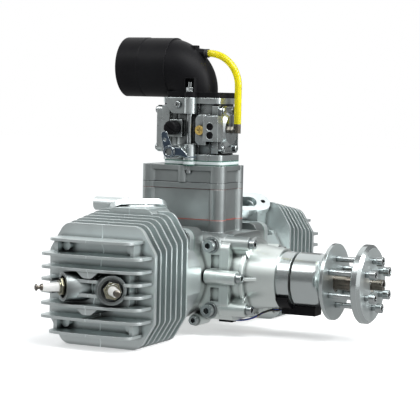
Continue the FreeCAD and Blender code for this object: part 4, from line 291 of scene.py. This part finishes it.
# %% [markdown]
# ## Shared effects
#
# Cast metal, die-cast metal and moulded plastic all need a fine grain, and all metals need a softened edge.
# Those effects are shader node groups with named inputs, so that one recipe serves every finish with its own
# values. The first group holds two noises: a fine one as a height, and a broad one as a stain mask.

# %% Group: grain


def new_group(name, inputs, outputs):
    """A node group, with each input given as label, kind and default, and each output as label and kind."""
    group = bpy.data.node_groups.new(name, "ShaderNodeTree")
    for label, kind, default in inputs:
        socket = group.interface.new_socket(label, in_out="INPUT", socket_type=kind)
        socket.default_value = default
    for label, kind in outputs:
        group.interface.new_socket(label, in_out="OUTPUT", socket_type=kind)
    start = group.nodes.new("NodeGroupInput")
    end = group.nodes.new("NodeGroupOutput")
    return group, start, end


def grain_group():
    """Height of a rough skin, and a soft stain mask, from object coordinates in metres."""
    group, start, end = new_group(
        "grain",
        [("Scale", "NodeSocketFloat", 900.0), ("Stain Scale", "NodeSocketFloat", 30.0)],
        [("Height", "NodeSocketFloat"), ("Stain", "NodeSocketFloat")],
    )
    where = add(group, "ShaderNodeTexCoord")
    fine = add(group, "ShaderNodeTexNoise", {"Detail": 3.0, "Roughness": 0.6})
    broad = add(group, "ShaderNodeTexNoise", {"Detail": 4.0})
    links = group.links
    links.new(where.outputs["Object"], fine.inputs["Vector"])
    links.new(where.outputs["Object"], broad.inputs["Vector"])
    links.new(start.outputs["Scale"], fine.inputs["Scale"])
    links.new(start.outputs["Stain Scale"], broad.inputs["Scale"])
    links.new(fine.outputs[0], end.inputs["Height"])
    links.new(broad.outputs[0], end.inputs["Stain"])
    return group


GRAIN = grain_group()
print("group:", GRAIN.name, [item.name for item in GRAIN.interface.items_tree])

# %% [markdown]
# The second group finds the edges. A Bevel node bends the normal near an edge, and the angle between the bent
# normal and the true one is a mask that is strong on edges only. The materials lighten their colour there,
# partly as wear and partly as a painted highlight: castings turn bright, and black pieces turn grey.

# %% Group: edge
FLAT_COSINE = 1.0          # cosine between the two normals where a face is flat
EDGE_COSINE = 0.8          # and where the edges' lighter colour, partly wear and partly painted highlight, is full


def edge_group():
    """Normal that is softened at the edges, and a mask of the edges."""
    group, start, end = new_group(
        "edge",
        [("Radius", "NodeSocketFloat", 0.0006)],
        [("Normal", "NodeSocketVector"), ("Mask", "NodeSocketFloat")],
    )
    bevel = add(group, "ShaderNodeBevel", samples=4)
    face = add(group, "ShaderNodeNewGeometry")
    match = add(group, "ShaderNodeVectorMath", operation="DOT_PRODUCT")
    wear = add(group, "ShaderNodeMapRange", {"From Min": FLAT_COSINE, "From Max": EDGE_COSINE})
    links = group.links
    links.new(start.outputs["Radius"], bevel.inputs["Radius"])
    links.new(bevel.outputs[0], match.inputs[0])
    links.new(face.outputs["Normal"], match.inputs[1])
    links.new(match.outputs["Value"], wear.inputs["Value"])
    links.new(bevel.outputs[0], end.inputs["Normal"])
    links.new(wear.outputs[0], end.inputs["Mask"])
    return group


EDGE = edge_group()
print("group:", EDGE.name, [item.name for item in EDGE.interface.items_tree])

# %% [markdown]
# Shade gathers where two walls meet, and the materials paint it into their colour as painted shade. The
# Ambient Occlusion node measures how open a point is, and a Map Range turns that into a mask that is one in a
# narrow corner. The lathe group draws the fine rings that a cutting tool leaves: their height follows the
# distance from the crankshaft on a flat face and the place along it on a round one, so the sum of the two
# serves both.

# %% Groups: crevice and lathe rings
OPEN_LEVEL = 0.85          # openness above which a point gets no painted shade


def crevice_group():
    """Mask of the places that neighbours close in, full where the openness falls to Closed."""
    group, start, end = new_group(
        "crevice",
        [("Distance", "NodeSocketFloat", 0.006), ("Closed", "NodeSocketFloat", 0.35)],
        [("Mask", "NodeSocketFloat")],
    )
    closed = add(group, "ShaderNodeAmbientOcclusion", samples=16)
    mask = add(group, "ShaderNodeMapRange", {"From Min": OPEN_LEVEL})
    group.links.new(start.outputs["Closed"], mask.inputs["From Max"])
    group.links.new(start.outputs["Distance"], closed.inputs["Distance"])
    group.links.new(closed.outputs["AO"], mask.inputs["Value"])
    group.links.new(mask.outputs[0], end.inputs["Mask"])
    return group


def lathe_group():
    """Height of turned rings, with the pitch in metres."""
    group, start, end = new_group(
        "lathe_rings", [("Pitch", "NodeSocketFloat", 0.0006)], [("Height", "NodeSocketFloat")]
    )
    where = add(group, "ShaderNodeTexCoord")
    split = add(group, "ShaderNodeSeparateXYZ")
    flat = add(group, "ShaderNodeCombineXYZ")
    radius = add(group, "ShaderNodeVectorMath", operation="LENGTH")
    total = add(group, "ShaderNodeMath", operation="ADD")
    turns = add(group, "ShaderNodeMath", operation="DIVIDE")
    noise = add(group, "ShaderNodeTexNoise", {"Scale": 1.0, "Detail": 2.0}, noise_dimensions="1D")
    links = group.links
    links.new(where.outputs["Object"], split.inputs[0])
    links.new(split.outputs["X"], flat.inputs["X"])
    links.new(split.outputs["Z"], flat.inputs["Z"])
    links.new(flat.outputs[0], radius.inputs[0])
    links.new(radius.outputs["Value"], total.inputs[0])
    links.new(split.outputs["Y"], total.inputs[1])
    links.new(total.outputs[0], turns.inputs[0])
    links.new(start.outputs["Pitch"], turns.inputs[1])
    links.new(turns.outputs[0], noise.inputs["W"])
    links.new(noise.outputs[0], end.inputs["Height"])
    return group


CREVICE = crevice_group()
LATHE = lathe_group()
print("groups:", CREVICE.name, LATHE.name)

# %% [markdown]
# ## Metals
#
# Each finish is one material with a Principled shader: the groups feed its colour, roughness and normal, and
# numbers that are the same all over stand on the shader's own sockets. The castings are sand-blasted
# aluminium: pale, rough, slightly stained, with a fine pebble skin.

# %% Helper: finish
FACED_FROM = 0.7           # the normal's part along the crankshaft from which a face turns dull
FACED_FULL = 0.95          # and at which it is fully so


def mixed(tree, first, second, factor):
    """Mixes two colours, each given as numbers or as another node's output."""
    mix = add(tree, "ShaderNodeMix", data_type="RGBA")
    tree.links.new(factor, mix.inputs["Factor"])
    for socket, value in ((mix.inputs["A"], first), (mix.inputs["B"], second)):
        if isinstance(value, tuple):
            socket.default_value = (*value, 1)
        else:
            tree.links.new(value, socket)
    return mix.outputs["Result"]


def duller_when_faced(tree, gloss, faced):
    """Roughness that goes from gloss to the value in faced on faces square to the crankshaft."""
    side = add(tree, "ShaderNodeNewGeometry")
    split = add(tree, "ShaderNodeSeparateXYZ")
    flat = add(tree, "ShaderNodeMath", operation="ABSOLUTE")
    blend = add(tree, "ShaderNodeMapRange", {"From Min": FACED_FROM, "From Max": FACED_FULL, "To Max": faced})
    tree.links.new(side.outputs["Normal"], split.inputs[0])
    tree.links.new(split.outputs["Y"], flat.inputs[0])
    tree.links.new(flat.outputs[0], blend.inputs["Value"])
    tree.links.new(gloss, blend.inputs["To Min"])
    return blend.outputs[0]


def finish(name, dark, light, roughness, metallic=1.0, grain=900.0, depth=0.02, stain=30.0, edge=0.0005,
           spread=0.12, edge_wear_and_highlight=None, crevice_shade=None, reach=0.006, closed=0.35, rings=0.0, faced=None, marks=()):
    """A material that runs from dark to light with its stains, lighter at the edges for wear and a painted
    highlight, and with painted shade in the corners.

    The skin's depth and the pitch of the rings are in millimetres, edge and reach in metres. Each of the
    marks is a colour and a function that builds its mask in the material's tree.
    """
    material = bpy.data.materials.new(name)
    material.use_nodes = True
    tree = material.node_tree
    links = tree.links
    shader = tree.nodes["Principled BSDF"]
    shader.inputs["Metallic"].default_value = metallic
    skin = add(tree, "ShaderNodeGroup", {"Scale": grain, "Stain Scale": stain}, node_tree=GRAIN)
    rim = add(tree, "ShaderNodeGroup", {"Radius": edge}, node_tree=EDGE)
    colour = mixed(tree, dark, light, skin.outputs["Stain"])
    # Painted shade: the colour darkens towards the given corner colour where neighbours close a point in.
    if crevice_shade is not None:
        corner = add(tree, "ShaderNodeGroup", {"Distance": reach, "Closed": closed}, node_tree=CREVICE)
        colour = mixed(tree, colour, crevice_shade, corner.outputs["Mask"])
    for mark_colour, mark_mask in marks:
        colour = mixed(tree, colour, mark_colour, mark_mask(tree))
    # Edges lighten to the edge colour: partly wear, partly a painted highlight.
    colour = mixed(tree, colour, edge_wear_and_highlight or light, rim.outputs["Mask"])
    links.new(colour, shader.inputs["Base Color"])
    smoothest, dullest = roughness - spread / 2, roughness + spread / 2
    gloss = add(tree, "ShaderNodeMapRange", {"To Min": smoothest, "To Max": dullest})
    links.new(skin.outputs["Stain"], gloss.inputs["Value"])
    dull = gloss.outputs[0] if faced is None else duller_when_faced(tree, gloss.outputs[0], faced)
    links.new(dull, shader.inputs["Roughness"])
    bump = add(tree, "ShaderNodeBump", {"Strength": 1.0, "Distance": depth * MM})
    if rings > 0:
        lathe = add(tree, "ShaderNodeGroup", {"Pitch": rings * MM}, node_tree=LATHE)
        links.new(lathe.outputs["Height"], bump.inputs["Height"])
    else:
        links.new(skin.outputs["Height"], bump.inputs["Height"])
    links.new(rim.outputs["Normal"], bump.inputs["Normal"])
    links.new(bump.outputs[0], shader.inputs["Normal"])
    return material


def grey(level):
    """A metal colour: bare aluminium and zinc reflect a little less red than green and blue."""
    return (level * 0.92, level, level)


def dress(material, *names):
    """Puts a material on every slot of the named CAD nodes."""
    for name in names:
        slots = nodes[name].data.materials
        if not len(slots):
            slots.append(material)
        for i in range(len(slots)):
            slots[i] = material
    print(material.name, "on", len(names), "nodes")


# %% [markdown]
# Three marks belong to one place on a casting each. The mould's two halves leave a thin pale line down the
# middle of the fins, the casting is darker round the plug wells, and the neck of the crankcase is as dark as
# the housing on it. They could be painted by hand, but a mask from object coordinates is exact and needs no
# image.

# %% Helpers: masks by place
WELL_INNER = 0.012         # distance from a plug within which its well is fully darkened
WELL_OUTER = 0.020         # and beyond which the metal keeps its own colour
LINE_HALF_WIDTH = 0.0004
LINE_SWAY = 0.004          # how far the mould line wanders to either side
LINE_WAVES = 60.0          # scale of the noise that bends it
NECK_FROM = 0.030          # height at which the crankcase starts to darken
NECK_FULL = 0.044


def plug_places():
    """Middle of each plug's outer half, from the vertices of the plug shells: two on each side."""
    groups = {}
    for side in (-1, 1):
        points = [v.co for v in nodes["plug_shells"].data.vertices if v.co.x * side > 0]
        middle = sum(p.y for p in points) / len(points)
        for half in (-1, 1):
            part = [p for p in points if (p.y - middle) * half > 0]
            outer = sorted(part, key=lambda p: -abs(p.x))[: len(part) // 2]
            groups[side, half] = sum(outer, Vector()) / len(outer)
    return groups


PLUGS = plug_places()
CYLINDER_Y = {side: (PLUGS[side, -1].y + PLUGS[side, 1].y) / 2 for side in (-1, 1)}
print("plugs at", {key: tuple(round(c, 4) for c in place) for key, place in PLUGS.items()})


def near_points(places, inner, outer):
    """Mask that is one within the inner distance of any of the places and nought beyond the outer one."""
    def build(tree):
        where = add(tree, "ShaderNodeTexCoord")
        closest = None
        for place in places:
            gap = add(tree, "ShaderNodeVectorMath", {1: place}, operation="DISTANCE")
            tree.links.new(where.outputs["Object"], gap.inputs[0])
            if closest is None:
                closest = gap.outputs["Value"]
            else:
                least = add(tree, "ShaderNodeMath", operation="MINIMUM")
                tree.links.new(closest, least.inputs[0])
                tree.links.new(gap.outputs["Value"], least.inputs[1])
                closest = least.outputs[0]
        ramp = add(tree, "ShaderNodeMapRange", {"From Min": outer, "From Max": inner})
        tree.links.new(closest, ramp.inputs["Value"])
        return ramp.outputs[0]
    return build


def along(axis, first, last):
    """Mask that runs from nought at the first place on an axis to one at the last."""
    def build(tree):
        where = add(tree, "ShaderNodeTexCoord")
        split = add(tree, "ShaderNodeSeparateXYZ")
        ramp = add(tree, "ShaderNodeMapRange", {"From Min": first, "From Max": last})
        tree.links.new(where.outputs["Object"], split.inputs[0])
        tree.links.new(split.outputs[axis], ramp.inputs["Value"])
        return ramp.outputs[0]
    return build


def mould_line(middle, half_width):
    """Thin wavy line round a cylinder in the plane of the mould's two halves."""
    def build(tree):
        where = add(tree, "ShaderNodeTexCoord")
        wave = add(tree, "ShaderNodeTexNoise", {"Scale": LINE_WAVES})
        sway = add(tree, "ShaderNodeMapRange", {"To Min": middle - LINE_SWAY, "To Max": middle + LINE_SWAY})
        split = add(tree, "ShaderNodeSeparateXYZ")
        off = add(tree, "ShaderNodeMath", operation="SUBTRACT")
        gap = add(tree, "ShaderNodeMath", operation="ABSOLUTE")
        ramp = add(tree, "ShaderNodeMapRange", {"From Min": half_width * 2, "From Max": half_width})
        links = tree.links
        links.new(where.outputs["Object"], wave.inputs["Vector"])
        links.new(wave.outputs[0], sway.inputs["Value"])
        links.new(where.outputs["Object"], split.inputs[0])
        links.new(split.outputs["Y"], off.inputs[0])
        links.new(sway.outputs[0], off.inputs[1])
        links.new(off.outputs[0], gap.inputs[0])
        links.new(gap.outputs[0], ramp.inputs["Value"])
        return ramp.outputs[0]
    return build


# %% Castings
# In these finishes the corner colour is painted shade, and the edge colour is partly wear and partly a painted
# highlight.
for side, name in ((-1, "cylinder_left"), (1, "cylinder_right")):
    wells = near_points([PLUGS[side, -1], PLUGS[side, 1]], WELL_INNER, WELL_OUTER)
    line = mould_line(CYLINDER_Y[side], LINE_HALF_WIDTH)
    fin_metal = finish("cast_" + name, grey(0.72), grey(0.86), 0.40, grain=1300, depth=0.05, stain=45,
                       edge_wear_and_highlight=grey(0.95), crevice_shade=grey(0.16), reach=0.007,
                       marks=((grey(0.16), wells), (grey(0.95), line)))
    dress(fin_metal, name)
neck = along("Z", NECK_FROM, NECK_FULL)
case_metal = finish("cast_crankcase", (0.72, 0.78, 0.76), (0.84, 0.90, 0.88), 0.42, grain=1100, depth=0.05,
                    stain=60, edge_wear_and_highlight=grey(0.95), crevice_shade=grey(0.08), reach=0.006, marks=((grey(0.30), neck),))
dress(case_metal, "crankcase", "front_case", "rear_cover")
stack_metal = finish("cast_intake", grey(0.30), grey(0.50), 0.40, grain=1100, depth=0.04, stain=38,
                     edge_wear_and_highlight=grey(0.62), crevice_shade=grey(0.06), reach=0.004)
dress(stack_metal, "reed_housing", "intake_cover", "spacer_plate")
die_cast = finish("die_cast_zinc", grey(0.60), grey(0.80), 0.28, grain=1100, depth=0.008, stain=90,
                  edge_wear_and_highlight=grey(0.95), crevice_shade=grey(0.012), reach=0.010, closed=0.42, edge=0.0008)
dress(die_cast, "carburettor_body", "pump_cover")

# %% Turned and rolled metals
# Here too the corner colour is painted shade, and the edge colour is partly wear and partly a painted
# highlight.
turned_metal = finish("turned_aluminium", grey(0.58), grey(0.70), 0.20, stain=20, spread=0.06, rings=0.5,
                      depth=0.006, edge_wear_and_highlight=grey(0.95), faced=0.46)
dress(turned_metal, "prop_hub", "prop_washer", "sensor_ring", "piston_left", "piston_right")
zinc = finish("zinc_plated_steel", (0.36, 0.39, 0.40), (0.62, 0.66, 0.66), 0.22, depth=0.006, stain=160,
              edge_wear_and_highlight=grey(0.9), crevice_shade=(0.006, 0.012, 0.016), reach=0.005)
dress(zinc, "cylinder_screws", "m8_washers", "cross_bolts", "case_screws", "intake_screws", "carb_screws",
      "carb_studs", "carb_nuts", "prop_screws", "metering_cover")
steel = finish("bright_steel", grey(0.40), grey(0.62), 0.26, depth=0.006, stain=120, edge_wear_and_highlight=grey(0.8),
               crevice_shade=grey(0.06))
dress(steel, "throttle_shaft", "main_bearings", "trigger_magnet", "wrist_pin_left",
      "wrist_pin_right", "crank_pin_left", "crank_pin_right")
plug_metal = finish("plug_plating", (0.26, 0.24, 0.15), (0.50, 0.48, 0.36), 0.24, depth=0.006, stain=140,
                    edge_wear_and_highlight=grey(0.8), crevice_shade=(0.02, 0.02, 0.012), reach=0.010)
dress(plug_metal, "plug_shells")
lever_metal = finish("blued_lever", (0.10, 0.14, 0.20), (0.20, 0.27, 0.36), 0.22, depth=0.006, stain=150,
                     edge=0.0009, edge_wear_and_highlight=grey(0.95), crevice_shade=(0.01, 0.015, 0.02))
dress(lever_metal, "throttle_lever")
dark_steel = finish("dark_steel", (0.11, 0.095, 0.08), (0.26, 0.235, 0.20), 0.26, depth=0.006, stain=90,
                    edge_wear_and_highlight=grey(0.5))
dress(dark_steel, "crankshaft", "piston_rings_left", "piston_rings_right", "con_rod_left", "con_rod_right",
      "pressure_fitting", "plug_terminals")
brass = finish("brass", (0.80, 0.50, 0.10), (0.95, 0.72, 0.24), 0.24, 0.7, depth=0.004, stain=200,
               edge_wear_and_highlight=(0.95, 0.8, 0.4), crevice_shade=(0.10, 0.05, 0.01), reach=0.002)
dress(brass, "brass_plug", "throttle_plate")

# %% [markdown]
# ## Plastics, rubber and ceramic
#
# The same helper serves them with the metallic value at zero: the elbow is a satin black moulding, the vent
# hose a clear yellow tube that the background shines through, and the plug's insulator a glazed ceramic.

# %% Plastics
SATIN_SPECULAR = 0.08      # the black moulding mirrors less than most plastics

# The black moulding's grey edges are partly wear and partly a painted highlight.
black_plastic = finish("black_plastic", (0.004, 0.004, 0.005), (0.010, 0.010, 0.011), 0.42, 0.0, grain=500,
                       depth=0.01, stain=40, edge_wear_and_highlight=(0.03, 0.03, 0.032))
satin = black_plastic.node_tree.nodes["Principled BSDF"]
satin.inputs["Specular IOR Level"].default_value = SATIN_SPECULAR
dress(black_plastic, "intake_elbow", "hall_sensor", "lead_connector", "reed_petals", "idle_knob",
      "mixture_screw_high", "mixture_screw_low")
spacer_sheet = finish("spacer_sheet", grey(0.55), grey(0.80), 0.3, 0.0, stain=60)
dress(spacer_sheet, "carb_insulator")
rubber = finish("black_rubber", (0.012, 0.012, 0.012), (0.03, 0.03, 0.03), 0.6, 0.0, grain=900, depth=0.02,
                stain=60)
dress(rubber, "hose_rings", "reed_block")
green_fibre = finish("green_gasket", (0.01, 0.07, 0.05), (0.03, 0.16, 0.11), 0.6, 0.0, grain=1500, depth=0.01,
                     stain=200)
dress(green_fibre, "base_gaskets", "carb_gaskets")
ceramic = finish("white_ceramic", (0.74, 0.74, 0.72), (0.86, 0.86, 0.84), 0.15, 0.0, grain=200, depth=0.002,
                 stain=20)
dress(ceramic, "plug_insulators")

# %% [markdown]
# Two pieces change colour by where a point lies. The lowest of the three paper gaskets is red and the upper
# two have gone dark, and the three wires of the lead have three colours. A Color Ramp with constant steps,
# driven by one object coordinate, does both.

# %% Colours by place
PAPER_LOW = 0.05           # the gaskets lie between these two heights
PAPER_HIGH = 0.11
PAPER_BANDS = [(0.0, (0.42, 0.06, 0.035)), (0.4, (0.13, 0.045, 0.035)), (0.75, (0.03, 0.03, 0.032))]
LEAD_HALF_WIDTH = 0.0032
WIRE_BANDS = [(0.0, (0.02, 0.05, 0.30)), (0.333, (0.55, 0.03, 0.02)), (0.667, (0.75, 0.55, 0.02))]


def colour_by_place(material, axis, low, high, bands):
    """Replaces a finish's colour by bands along one axis, from low to high in metres."""
    tree = material.node_tree
    where = add(tree, "ShaderNodeTexCoord")
    split = add(tree, "ShaderNodeSeparateXYZ")
    span = add(tree, "ShaderNodeMapRange", {"From Min": low, "From Max": high})
    ramp = add(tree, "ShaderNodeValToRGB")
    ramp.color_ramp.interpolation = "CONSTANT"
    while len(ramp.color_ramp.elements) < len(bands):
        ramp.color_ramp.elements.new(0.5)
    for element, (place, colour) in zip(ramp.color_ramp.elements, bands):
        element.position = place
        element.color = (*colour, 1)
    tree.links.new(where.outputs["Object"], split.inputs[0])
    tree.links.new(split.outputs[axis], span.inputs["Value"])
    tree.links.new(span.outputs[0], ramp.inputs[0])
    tree.links.new(ramp.outputs[0], tree.nodes["Principled BSDF"].inputs["Base Color"])


paper = finish("intake_gasket_paper", (0.3, 0.03, 0.02), (0.5, 0.06, 0.04), 0.6, 0.0, grain=1500, depth=0.01,
               stain=200)
colour_by_place(paper, "Z", PAPER_LOW, PAPER_HIGH, PAPER_BANDS)
dress(paper, "intake_gaskets")
wire_skin = finish("wire_skin", (0.3, 0.02, 0.01), (0.5, 0.03, 0.02), 0.35, 0.0, grain=400, depth=0.002,
                   stain=60)
colour_by_place(wire_skin, "X", -LEAD_HALF_WIDTH, LEAD_HALF_WIDTH, WIRE_BANDS)
dress(wire_skin, "sensor_wires")

# %% Clear yellow tube
TUBE_CLEAR = 0.55          # share of the shading that is see-through, the rest being plain plastic
TUBE_IOR = 1.42

yellow_tube = finish("yellow_tube", (0.86, 0.78, 0.01), (0.92, 0.84, 0.03), 0.10, 0.0, grain=40, depth=0.0,
                     stain=20, spread=0.04)
tube = yellow_tube.node_tree.nodes["Principled BSDF"]
tube.inputs["Transmission Weight"].default_value = TUBE_CLEAR
tube.inputs["IOR"].default_value = TUBE_IOR
dress(yellow_tube, "vent_hose")

# %% [markdown]
# ## Collars of the mixture screws
#
# Three kinds of fine pieces are added, and each is built as rings of points with faces between them. The two
# black mixture screws sit in bright pressed collars. Each collar is one profile, a small rounded lip, turned
# about the screw's axis. A Screw modifier would do the same, but the axis is easiest to read from the screw's
# own bounding box, so the rings are laid one by one.

# %% Collars
COLLAR_LIP = 0.0006        # radius of the lip's round section
COLLAR_SEAT = 0.9          # lip radii from the screw's surface to the lip's middle, so that it bites in
COLLAR_FORWARD = 0.0001    # how far the lip's middle stands out past the screw's face


def box_of(name):
    """World bounding box of a node as its lower and upper corner."""
    corners = [nodes[name].matrix_world @ Vector(c) for c in nodes[name].bound_box]
    low = Vector(min(c[i] for c in corners) for i in range(3))
    high = Vector(max(c[i] for c in corners) for i in range(3))
    return low, high


def circle(count):
    """Angles of a ring of points."""
    return [2 * math.pi * k / count for k in range(count)]


def band(build, first, second, closed=True):
    """Faces between two rings of points."""
    count = len(first)
    for k in range(count if closed else count - 1):
        after = (k + 1) % count
        build.faces.new((first[k], first[after], second[after], second[k]))


def object_from(name, build, material, smooth):
    """An object of its own from what was built."""
    bmesh.ops.recalc_face_normals(build, faces=build.faces)
    for face in build.faces:
        face.smooth = smooth
    mesh = bpy.data.meshes.new(name)
    build.to_mesh(mesh)
    build.free()
    mesh.materials.append(material)
    return in_scene(name, mesh)


def thicken(piece, thickness, offset):
    """Gives a sheet its wall: offset 1 puts it on the side of the normals and -1 on the other."""
    wall = piece.modifiers.new("wall", "SOLIDIFY")
    wall.thickness = thickness
    wall.offset = offset


def build_collar(name, screw, count=40, around_lip=10):
    low, high = box_of(screw)
    middle = (low + high) / 2
    radius = min(high.y - low.y, high.z - low.z) / 2 + COLLAR_LIP * COLLAR_SEAT
    front = low.x - COLLAR_FORWARD
    build = bmesh.new()
    rings = []
    for b in circle(around_lip):
        reach, rise = radius + COLLAR_LIP * math.cos(b), front + COLLAR_LIP * math.sin(b)
        rings.append([build.verts.new((rise, middle.y + reach * math.cos(a), middle.z + reach * math.sin(a)))
                      for a in circle(count)])
    for first, second in zip(rings, rings[1:] + rings[:1]):
        band(build, first, second)
    collar = object_from(name, build, zinc, smooth=True)
    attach(collar, "engine")
    print(name, "at", [round(c, 4) for c in middle], "radius", round(radius, 4))


for level in ("high", "low"):
    build_collar("mixture_collar_" + level, "mixture_screw_" + level)

# %% [markdown]
# ## Pockets for the carburettor's nuts
#
# The two long studs end in nuts on the elbow's flange, and the elbow makes room for them with two pockets.
# Their round walls stand inside the elbow, where they close it against the outside. Only the part that faces
# the elbow's middle is needed, so each wall is a bent sheet with a flat roof, thickened by a modifier.

# %% Nut pockets
POCKET_R = 0.00605
POCKET_HEIGHT = 0.0145
POCKET_WALL = 0.0010
POCKET_HALF_TURN = math.radians(115)
UPPER_NUTS_Z = 0.17        # the nuts above this height lie on the elbow's flange


def build_pocket(name, side, count=28):
    points = [v.co for v in nodes["carb_nuts"].data.vertices if v.co.x * side > 0 and v.co.z > UPPER_NUTS_Z]
    low = Vector(min(p[i] for p in points) for i in range(3))
    high = Vector(max(p[i] for p in points) for i in range(3))
    middle = (low + high) / 2
    stack_low, stack_high = box_of("carb_insulator")
    inward = math.atan2((stack_low.y + stack_high.y) / 2 - middle.y, -middle.x)
    bottom, top = low.z, low.z + POCKET_HEIGHT
    angles = [inward + POCKET_HALF_TURN * (2 * k / count - 1) for k in range(count + 1)]
    build = bmesh.new()
    rims = []
    for z in (bottom, top):
        rims.append([build.verts.new((middle.x + POCKET_R * math.cos(a), middle.y + POCKET_R * math.sin(a), z))
                     for a in angles])
    band(build, *rims, closed=False)
    build.faces.new(rims[1])
    pocket = object_from(name, build, black_plastic, smooth=False)
    thicken(pocket, POCKET_WALL, offset=1)
    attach(pocket, "engine")
    print(name, "round", [round(c, 4) for c in middle], "from", round(bottom, 4), "to", round(top, 4))


for label, side in (("left", -1), ("right", 1)):
    build_pocket("nut_pocket_" + label, side)

# %% [markdown]
# ## The lead's sleeve
#
# The three wires leave the sensor together in a black shrunk sleeve, and only their last stretch shows its
# colours. The sleeve is a flattened tube, so a curve with a round bevel would be too thick: rings of points
# are laid round the wires' own path instead and joined by faces, and a Solidify modifier gives the wall.

# %% Sleeve
SLEEVE_START = 0.0575
SLEEVE_END = 0.088
SLEEVE_HALF_WIDTH = 0.0035
SLEEVE_HALF_HEIGHT = 0.0013
SLEEVE_WALL = 0.0004
SLEEVE_EVEN = 0.002        # the path's height is the mean over this distance either way
SQUEEZE_DEPTH = 0.04       # the shrunk sleeve's width wavers by this share
SQUEEZE_STEP = 1.9         # radians of that waver from one ring to the next
MIDDLE_WIRE_HALF = 0.001   # only the middle wire has points this near to the engine's middle plane
NEAR_POINTS = 40           # enough of the wire's points for its whole section at one place


def wire_height(y):
    """Height of the middle wire's centre at one place along the crankshaft."""
    wire = (v.co for v in nodes["sensor_wires"].data.vertices if abs(v.co.x) < MIDDLE_WIRE_HALF)
    close = sorted(wire, key=lambda p: abs(p.y - y))[:NEAR_POINTS]
    return (max(p.z for p in close) + min(p.z for p in close)) / 2


def build_sleeve(count=24, steps=16):
    build = bmesh.new()
    rings = []
    for i in range(steps + 1):
        y = SLEEVE_START + (SLEEVE_END - SLEEVE_START) * i / steps
        z = (wire_height(y - SLEEVE_EVEN) + wire_height(y) + wire_height(y + SLEEVE_EVEN)) / 3
        width = SLEEVE_HALF_WIDTH * (1.0 + SQUEEZE_DEPTH * math.sin(i * SQUEEZE_STEP))
        rings.append([build.verts.new((width * math.cos(a), y, z + SLEEVE_HALF_HEIGHT * math.sin(a)))
                      for a in circle(count)])
    for first, second in zip(rings, rings[1:]):
        band(build, first, second)
    sleeve = object_from("lead_sleeve", build, rubber, smooth=True)
    thicken(sleeve, SLEEVE_WALL, offset=-1)
    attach(sleeve, "engine")
    return sleeve


lead_sleeve = build_sleeve()
print("sleeve faces:", len(lead_sleeve.data.polygons))
